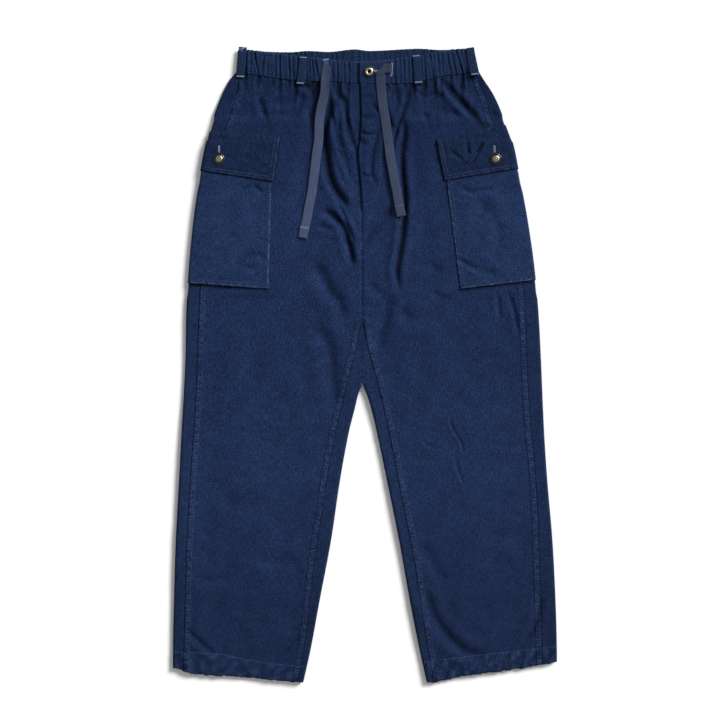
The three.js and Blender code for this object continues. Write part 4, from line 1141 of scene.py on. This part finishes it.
def pocketParts(side):
    own = sides[side]

    def rowY(t, v):
        low = mix(pocket["frontLow"], own["pocketLow"], t)
        return mix(pocket["top"], low, v)

    def frontEdge(y):
        return pocketEdge(side, y)

    def shape(x, y, t, v):
        bulge = pocket["swell"] * np.sin(np.pi * np.clip(t, 0, 1)) ** 0.7
        bulge = bulge * ramp(0, 0.12, 1 - v) * (1 - ramp(262, 285, y))
        fold = foldHeight(pocketFolds[side], x, y) * (1 - ramp(275, 292, y))
        waves = 0.3 * unevenWaves(x, y, 21 if side == "left" else 22, 6, 30, 90)
        crumple = unevenWaves(x, y, 23, 14, 12, 40)
        waves = (waves + 0.22 * crumple - 0.22 * np.abs(crumple)) * (1 - ramp(262, 285, y))
        distance = edgeReach(x, y, t, v)
        rim = 0.5 * np.exp(-((distance - 4.5) / 2.6) ** 2) - 0.35 * np.exp(-((distance - 8.6) / 1.2) ** 2)
        rim = rim + 1.2 * np.exp(-((y - mix(pocket["frontLow"], own["pocketLow"], t)) / 5) ** 2)
        pucker = 0.22 * np.sin((x + y) / 2.1 + 1.4 * np.sin(y / 11)) * np.exp(-(distance / 8) ** 2)
        return bulge + fold + waves + rim + pucker

    def edgeReach(x, y, t, v):
        front = np.abs(x - frontEdge(y))
        low = y - mix(pocket["frontLow"], own["pocketLow"], t)
        return np.minimum(front, low)

    def wearAndPaintedLightAt(x, y, t, v):
        # The edges are pale, partly rubbed and partly painted highlight. Painted shade darkens the folds, and a
        # painted shadow darkens the strip below the flap's edge.
        edge = edgeReach(x, y, t, v)
        patchy = np.clip(0.45 + 0.35 * np.sin(x / 5.0 + y / 7.0) + 0.35 * np.sin(x / 2.1 - y / 2.9), 0, 1)
        below = mix(flaps[side]["lowFront"], flaps[side]["lowSide"], t) - y
        dark = foldShape(pocketFolds[side], x, y)[1] + 0.7 * np.exp(-((below - 0.6) / 2.0) ** 2)
        rubAndHighlight = 0.45 if side == "left" else 0.7
        return rubAndHighlight * np.exp(-(edge / 1.3) ** 2) * patchy - dark, edge + 6.4

    return rowY, frontEdge, shape, wearAndPaintedLightAt


# The seam along a flap's top draws its cloth into uneven tucks
def topPucker(x):
    return np.sin(x / 1.7 + 1.8 * np.sin(x / 9)) * (0.6 + 0.4 * np.sin(x / 7.3))


def flapParts(side):
    own = flaps[side]

    def rowY(t, v):
        return mix(mix(own["topFront"], own["topSide"], t), mix(own["lowFront"], own["lowSide"], t), v)

    def frontEdge(y):
        return flapEdge(side, y)

    def edgeReach(x, y, v):
        height = own["topFront"] - own["lowFront"]
        return np.minimum(np.abs(x - frontEdge(y)), (1 - v) * height)

    def shape(x, y, t, v):
        fold = foldHeight(flapFolds[side], x, y)
        waves = 0.3 * unevenWaves(x, y, 31 if side == "left" else 32, 6, 24, 70)
        crumple = unevenWaves(x, y, 33 if side == "left" else 35, 14, 9, 34)
        waves += 0.3 * crumple - 0.3 * np.abs(crumple)
        distance = edgeReach(x, y, v)
        rim = 0.45 * np.exp(-((distance - 4.5) / 2.6) ** 2) - 0.3 * np.exp(-((distance - 8.6) / 1.2) ** 2)
        top = -0.6 * np.exp(-(v / 0.05) ** 2) + 0.4 * np.exp(-((v - 0.09) / 0.05) ** 2)
        top = top + 0.4 * topPucker(x) * np.exp(-(v / 0.14) ** 2)
        pucker = 0.2 * np.sin((x + y) / 2.0 + 1.4 * np.sin(y / 9)) * np.exp(-(distance / 8) ** 2)
        return 0.5 + fold + waves + rim + top + pucker

    def wearAndPaintedLightAt(x, y, t, v):
        edge = edgeReach(x, y, v)
        patchy = np.clip(0.5 + 0.3 * np.sin(x / 5.0 + y / 6.0) + 0.3 * np.sin(x / 2.2 - y / 3.1), 0, 1)
        # Painted shade darkens the folds, the tucks along the top seam and the groove of the inner stitch row; the
        # pale rim is wear.
        rim = np.maximum(0.55 * np.exp(-(edge / 1.4) ** 2), 0.2 * np.exp(-(v / 0.03) ** 2))
        tucks = 0.8 * np.clip(-topPucker(x), 0, 1) * np.exp(-((v - 0.03) / 0.07) ** 2)
        groove = 0.25 * np.exp(-((edge - 8.6) / 1.1) ** 2)
        return rim * patchy - 1.4 * foldShape(flapFolds[side], x, y)[1] - tucks - groove, edge + 6.4

    return rowY, frontEdge, shape, wearAndPaintedLightAt


# Upper face of a pocket or flap at places on its front
def wrapTop(side, parts, layers, x, y):
    rowY, frontEdge, shape, _ = parts
    t = (x - frontEdge(y)) / (sideTurn(side, y)[0] - frontEdge(y))
    high, low = rowY(t, 0.0), rowY(t, 1.0)
    v = (high - y) / (high - low)
    turnX = sideTurn(side, rowY(1.0, v))[0]
    return topHeight(side, turnX, y) + cloth["layerStep"] * layers + shape(x, y, t, v)


for side, panel in (("left", "Left"), ("right", "Right")):
    piece = clothPiece("cargoPocket" + panel, 100, 96,
                       wrapPlace(side, pocketParts(side), lambda y: np.ones(np.shape(y))),
                       (178, 215), cloth["wall"], twillPocket, ["cargo_pocket_" + side])
    piece = clothPiece("cargoFlap" + panel, 100, 40,
                       wrapPlace(side, flapParts(side),
                                 lambda y: 2 - ramp(pocket["top"] + 16, pocket["top"] + 22, y)),
                       (178, 70), cloth["wall"], twillFlap, ["cargo_flap_" + side])
print("pockets and flaps laid")


# Height of the cloth that lies on top at a place on the front or the band
def surfaceTop(x, y):
    x, y = np.asarray(x, float), np.asarray(y, float)
    share = bandShare(x, y)
    left = topHeight("left", x, y)
    right = topHeight("right", x, y)
    centre = along(centreFront, "y", "x", y)
    panel = np.where(x < centre, left, right)
    return np.where(share > 0, bandHeight(x, np.clip(share, 0, 1)), panel)


# Strips: drawstring tapes and belt loops

tapes = {
    "Left": {
        "node": "drawstring_left",
        "path": [(-61, 478), (-61.5, 461), (-63.5, 426), (-71, 390), (-73, 356), (-76, 329), (-81, 289), (-88, 250),
                 (-97.5, 200)],
        "fold": None,
    },
    "Right": {
        "node": "drawstring_right",
        "path": [(23, 475), (23.2, 466), (24.5, 450), (27, 424), (33, 382), (38, 343), (46, 297), (53, 256),
                 (57.5, 234)],
        "fold": 19.0,  # it lies this far to the left of its buttonhole, then turns down in a folded corner
    },
}
tapeSize = {"width": 14.4, "wall": 0.9, "tipFold": 17.0}
loopSize = {"width": 12.6, "wall": 1.1}
loops = {
    "Left": {"node": "belt_loop_left", "path": [(-97, 486.5), (-99, 465), (-101.5, 442)]},
    "Right": {"node": "belt_loop_right", "path": [(81, 489), (83, 466), (85, 442.5)]},
    "SideLeft": {"node": "belt_loop_side_left", "path": [(-192.5, 501), (-194, 478), (-196, 453)]},
    "SideRight": {"node": "belt_loop_side_right", "path": [(165.5, 500), (168.5, 478), (173, 456)]},
}


# Lays a strip on the cloth below: it bridges the hollows and touches the rises
def stripPlace(path, width, wall, reach, clear, twist):
    line = smoothLine(path, 1.5)
    steps = np.hypot(*np.diff(line, axis=0).T)
    travel = np.concatenate([[0], np.cumsum(steps)])
    heights = []
    for x, y in line:
        gx, gy = np.meshgrid(np.linspace(-reach, reach, 7) + x, np.linspace(-reach, reach, 7) + y)
        heights.append(surfaceTop(gx.ravel(), gy.ravel()).max())
    heights = np.array(heights)
    span = max(1, int(9 / 1.5))
    kernel = np.ones(2 * span + 1) / (2 * span + 1)
    smooth = np.convolve(np.pad(heights, span, mode="edge"), kernel, "valid")
    heights = np.maximum(smooth, heights * 0.6 + smooth * 0.4)
    slope = np.gradient(line, axis=0)
    slope /= np.hypot(slope[:, 0], slope[:, 1])[:, None]

    def place(u, v):
        s = v * travel[-1]
        px, py = np.interp(s, travel, line[:, 0]), np.interp(s, travel, line[:, 1])
        tx, ty = np.interp(s, travel, slope[:, 0]), np.interp(s, travel, slope[:, 1])
        across = (u - 0.5) * width
        wander = 0.35 * np.sin(s / 17.0 + 1.0) + 0.2 * np.sin(s / 6.3)
        x = px - ty * (across + wander)
        y = py + tx * (across + wander)
        lean = twist * np.sin(s / 46.0 + 0.6) * (u - 0.5) * 2
        curl = 0.25 * (1 - (2 * u - 1) ** 2)
        z = np.interp(s, travel, heights) + clear + wall + lean + curl + np.abs(twist)
        return x, y, z, {}

    return place, travel[-1]


# A tape narrows into its buttonhole and is doubled at its tip. One that is folded runs
# across first, and turns down over itself along a slanting crease.
def tapePlace(tape, strip, down):
    width, wall, fold = tapeSize["width"], tapeSize["wall"], tape["fold"]
    corner = 8.0  # the line down starts this far above the corner
    total = down if fold is None else down - corner + fold

    def place(u, v):
        s = v * total
        c = (u - 0.5) * width
        tip = 0.8 * ramp(total - tapeSize["tipFold"], total - tapeSize["tipFold"] + 1, s)
        if fold is None:
            narrow = mix(0.5, 1.0, ramp(0, 13, s))
            x, y, z, _ = strip(0.5 + (u - 0.5) * narrow, s / down)
            z = z + tip - 1.6 * ramp(3, 0, s) + 0.9 * (2 * u - 1) * np.exp(-((s - 12) / 10) ** 2)
            # Painted shade darkens the upper part of the tape and its right half where it twists
            shade = 0.3 * ramp(105, 60, s) + 0.5 * ramp(0.35, 1, u) * np.exp(-((s - 34) / 24) ** 2)
        else:
            x, y, z, _ = strip(1 - u, np.clip((s - fold + corner) / down, 0, 1))
            flat = s < fold + c
            cornerX, cornerY, cornerZ, _ = strip(np.array([0.5]), np.array([corner / down]))
            fx, fy = cornerX[0] + fold - s, cornerY[0] - c * mix(0.95, 1.0, ramp(0, 9, s))
            fz = bandHeight(fx, np.full(u.shape, 0.5)) + wall + 0.4 - 1.8 * ramp(3, 0, s)
            lifted = np.maximum(z, cornerZ[0] + 0.9) * ramp(fold + 26, fold + 8, s)
            z = np.maximum(z + tip, lifted)
            x, y, z = choose(flat, (fx, fy, fz), (x, y, z))
            # Painted shade darkens the folded tape, most where it lies flat across the band and near its corner
            shade = np.where(flat, 0.75, 0.4 + 0.2 * ramp(fold + 60, fold, s))
        mark = 0.5 * np.exp(-((s - total + tapeSize["tipFold"]) / 0.8) ** 2)
        return x, y, z, {"wear": mark - shade}

    return place, total


for name, tape in tapes.items():
    strip, down = stripPlace(tape["path"], tapeSize["width"], tapeSize["wall"], 6, 0.15, 0.45)
    place, total = tapePlace(tape, strip, down)
    piece = clothPiece("drawstring" + name, 14, 190, place, (tapeSize["width"], total), tapeSize["wall"], slateTape,
                       [tape["node"]])
    centre = place(np.full(40, 0.5), np.linspace(0, 1, 40))
    print("drawstring", name, "length", round(float(total), 1), "mm")

loopHeights = {}
for name, loop in loops.items():
    place, total = stripPlace(loop["path"], loopSize["width"], loopSize["wall"], 4, 0.1, 0.0)
    piece = clothPiece("beltLoop" + name, 14, 40, place, (loopSize["width"], total), loopSize["wall"],
                       twillLoop, [loop["node"]])
    middle = place(np.full(30, 0.5), np.linspace(1, 0, 30))
    loopHeights[name] = (middle[1], middle[2])
print("tapes and loops laid")


# Buttons

buttons = {
    "Fly": {"node": "button_fly", "x": 7, "y": 462, "shape": "ringed"},
    "Left": {"node": "button_left", "x": -229, "y": 324, "shape": "domed"},
    "Right": {"node": "button_right", "x": 206, "y": 324, "shape": "domed"},
}
# The last column sets the metal's tone: low in the tarnished hollows, high on the raised rings, which is partly
# rubbed plating and partly painted highlight
buttonShapes = {
    "ringed": namedRows("r z wear", [
        (8.0, 0.0, -0.2), (8.7, 0.6, -0.1), (8.6, 1.5, 0.05), (7.9, 2.1, 0.15), (7.0, 2.1, -0.1),
        (6.2, 1.8, 0.0), (5.7, 2.2, 0.8), (4.4, 2.6, 1.0), (3.4, 2.4, 0.8), (2.6, 1.7, -0.2),
        (1.0, 1.6, -0.3),
    ]),
    "domed": namedRows("r z wear", [
        (8.0, 0.0, -0.2), (8.7, 0.6, -0.1), (8.6, 1.5, 0.1), (7.9, 2.1, 0.2), (7.1, 2.1, 0.0),
        (6.4, 1.7, -0.2), (5.6, 1.8, 0.0), (4.7, 2.4, 0.65), (3.6, 2.7, 0.7), (2.6, 2.5, 0.15),
        (1.6, 2.8, 0.75), (0.7, 2.9, 0.8),
    ]),
}


def makeButton(name, button, baseZ):
    buttonShape = buttonShapes[button["shape"]]
    bm = bmesh.new()
    wearAndLightLayer = bm.verts.layers.float.new("wear")
    ring = bmesh.ops.create_circle(bm, cap_ends=True, segments=48, radius=buttonShape[0]["r"] * mm)
    edge = [e for e in bm.edges if len(e.link_faces) == 1]
    last = ring["verts"]
    for vert in last:
        vert[wearAndLightLayer] = buttonShape[0]["wear"]
    for row in buttonShape[1:]:
        grown = bmesh.ops.extrude_edge_only(bm, edges=edge)["geom"]
        last = [g for g in grown if isinstance(g, bmesh.types.BMVert)]
        edge = [g for g in grown if isinstance(g, bmesh.types.BMEdge)
                and all(v in last for v in g.verts)]
        for vert in last:
            flat = Vector((vert.co.x, vert.co.y, 0)).normalized() * row["r"] * mm
            vert.co = Vector((flat.x, flat.y, row["z"] * mm))
            vert[wearAndLightLayer] = row["wear"]
    bmesh.ops.contextual_create(bm, geom=edge)
    bmesh.ops.recalc_face_normals(bm, faces=bm.faces[:])
    bmesh.ops.translate(bm, verts=bm.verts[:], vec=(button["x"] * mm, button["y"] * mm, baseZ * mm))
    piece = finishPiece(bm, name, buttonMetal, [button["node"]])
    smooth = piece.modifiers.new("smooth", "SUBSURF")
    smooth.levels = 1
    smooth.render_levels = 1
    return piece


# The fly button sits a little under half way up the band, the others on their flaps
def buttonBase(name, button):
    x, y = np.array([button["x"]], float), np.array([button["y"]], float)
    if name == "Fly":
        return float(bandHeight(x, np.array([0.45]))[0])
    side = name.lower()
    return float(wrapTop(side, flapParts(side), 2, x, y)[0])


for name, button in buttons.items():
    makeButton("button" + name, button, buttonBase(name, button) + 0.1)
print("buttons set")

# Sewing

threads = {"length": 3.0, "gap": 1.3, "thickness": 0.5, "tackThickness": 0.7, "tackSpacing": 0.75}


# Lays a row of single stitches along a line, at the height that the cloth has there
def sewRow(bm, points, heightAt, offset=0.0):
    length, gap = threads["length"], threads["gap"]
    line = smoothLine(points, 3.0)
    steps = np.diff(line, axis=0)
    sizes = np.hypot(steps[:, 0], steps[:, 1])
    travel = np.concatenate([[0], np.cumsum(sizes)])
    aim = steps / sizes[:, None]
    aim = np.vstack([aim, aim[-1]])
    start = np.arange(gap / 2, travel[-1] - length, length + gap)
    ends = []
    for s in (start, start + length):
        dx, dy = np.interp(s, travel, aim[:, 0]), np.interp(s, travel, aim[:, 1])
        x = np.interp(s, travel, line[:, 0]) - dy * offset
        y = np.interp(s, travel, line[:, 1]) + dx * offset
        ends.append(np.stack([x, y, heightAt(x, y)], 1))
    for a, b in zip(*ends):
        addStitch(bm, Vector(a), Vector(b), threads["thickness"])


def addStitch(bm, a, b, thickness):
    turn = (b - a).to_track_quat("Z", "Y").to_matrix().to_4x4()
    size = Matrix.Diagonal((thickness / 2, thickness / 2, (b - a).length / 2 + 0.1, 1))
    place = Matrix.Translation((a + b) / 2 * mm) @ turn @ size @ Matrix.Scale(mm, 4)
    bmesh.ops.create_icosphere(bm, subdivisions=1, radius=1.0, matrix=place)


# A dense bar of thread across a short line, as at a bar tack or round a buttonhole
def sewBar(bm, start, end, width, heightAt):
    start, end = np.array(start, float), np.array(end, float)
    along2d = (end - start) / np.hypot(*(end - start))
    across = np.array([-along2d[1], along2d[0]]) * width / 2
    count = max(2, int(np.hypot(*(end - start)) / threads["tackSpacing"]))
    for i in range(count):
        middle = mix(start, end, (i + 0.5) / count)
        slant = along2d * 0.3 * (1 if i % 2 else -1)
        a, b = middle - across - slant, middle + across + slant
        za, zb = heightAt(np.array([a[0], b[0]]), np.array([a[1], b[1]]))
        addStitch(bm, Vector((a[0], a[1], za + 0.15)), Vector((b[0], b[1], zb + 0.15)), threads["tackThickness"])


def panelTop(side):
    return lambda x, y: topHeight(side, x, y) + 0.1


# A felled seam is half a millimetre thicker than the panel
def felledTop(side):
    return lambda x, y: topHeight(side, x, y) + 0.58


def pocketTop(side):
    return lambda x, y: wrapTop(side, pocketParts(side), 1, x, y) + 0.05


def flapTop(side):
    return lambda x, y: wrapTop(side, flapParts(side), 2, x, y) + 0.05


def bandTop(x, y):
    return bandHeight(x, np.clip(bandShare(x, y), 0, 1)) + 0.05


def loopTop(name):
    heights = loopHeights[name]
    return lambda x, y: np.interp(y, heights[0], heights[1]) + 0.1


tacks = [
    {"on": "SideLeft", "from": (-202, 455), "to": (-190, 454.4), "width": 2.2},
    {"on": "SideRight", "from": (168, 457.5), "to": (179, 458.5), "width": 2.2},
    {"on": "Left", "from": (-102, 485), "to": (-92, 484), "width": 1.7},
    {"on": "Left", "from": (-107, 444.5), "to": (-96, 443.7), "width": 1.9},
    {"on": "Right", "from": (75.5, 486.5), "to": (86.5, 487.3), "width": 1.7},
    {"on": "Right", "from": (79, 445.2), "to": (90.3, 446), "width": 1.9},
    {"on": "SideLeft", "from": (-198, 497), "to": (-188, 500), "width": 1.4},
    {"on": "SideLeft", "from": (-195, 494), "to": (-190, 501), "width": 1.0},
]
slits = [
    {"on": "band", "from": (14, 463), "to": (24, 463)},
    {"on": "band", "from": (-66, 480), "to": (-57, 482.5)},
    {"on": "band", "from": (43, 476), "to": (42, 455)},
    {"on": "left", "from": (-229, 345), "to": (-229, 334)},
    {"on": "right", "from": (204, 345), "to": (204, 334)},
]
flyStitch = [(24, 440), (25, 335), (24, 288), (19, 270), (8, 256), (-4, 250)]

navyRows = bmesh.new()
fadedRows = bmesh.new()
paleRows = bmesh.new()
for side in sides:
    sign = sides[side]["sign"]
    for offset in (1.4, 7.4):
        sewRow(navyRows, seamLines[side]["side"][3:-3:4], felledTop(side), offset=-sign * offset)
        sewRow(navyRows, seamLines[side]["inner"][5:-3:4], felledTop(side), offset=sign * offset)
    sewRow(fadedRows, hemStitch[side], lambda x, y: panelTop(side)(x, y) + 0.35)
    own = flaps[side]
    rowY, frontEdge, _, _ = pocketParts(side)
    for inset, rows in ((1.6, fadedRows), (7.2, navyRows)):
        down = [(frontEdge(y) + sign * inset, y) for y in np.arange(288, pocket["frontLow"] + inset + 1, -18.0)]
        sewRow(rows, down, pocketTop(side))
        across = [(frontEdge(pocket["frontLow"] + inset) + sign * (inset + step * 14),
                   rowY(step / 9, 1.0) + inset) for step in range(9)]
        sewRow(rows, across, pocketTop(side))
    rowY, frontEdge, _, _ = flapParts(side)
    for inset, rows in ((1.6, navyRows), (7.2, fadedRows)):
        down = [(frontEdge(y) + sign * inset, y)
                for y in np.arange(own["topFront"] - 2, own["lowFront"] + inset + 1, -12.0)]
        sewRow(rows, down, flapTop(side))
        across = [(frontEdge(own["lowFront"] + inset) + sign * (inset + step * 13),
                   rowY(step / 9, 1.0) + inset) for step in range(9)]
        sewRow(rows, across, flapTop(side))
sewRow(fadedRows, flyStitch[1:], panelTop("right"))
sewRow(navyRows, flyStitch[:2], panelTop("right"))
for tack in tacks:
    sewBar(paleRows, tack["from"], tack["to"], tack["width"], loopTop(tack["on"]))
for slit in slits:
    heightAt = bandTop if slit["on"] == "band" else flapTop(slit["on"])
    low, high = np.array(slit["from"], float), np.array(slit["to"], float)
    side2d = (high - low) / np.hypot(*(high - low))
    shift = np.array([-side2d[1], side2d[0]]) * 0.8
    sewBar(paleRows, low + shift, high + shift, 1.2, heightAt)
    sewBar(paleRows, low - shift, high - shift, 1.2, heightAt)
for rows, name, thread in ((navyRows, "navyStitches", navyThread), (fadedRows, "fadedStitches", fadedThread),
                           (paleRows, "paleStitches", paleThread)):
    finishPiece(rows, name, thread)
print("sewing done")
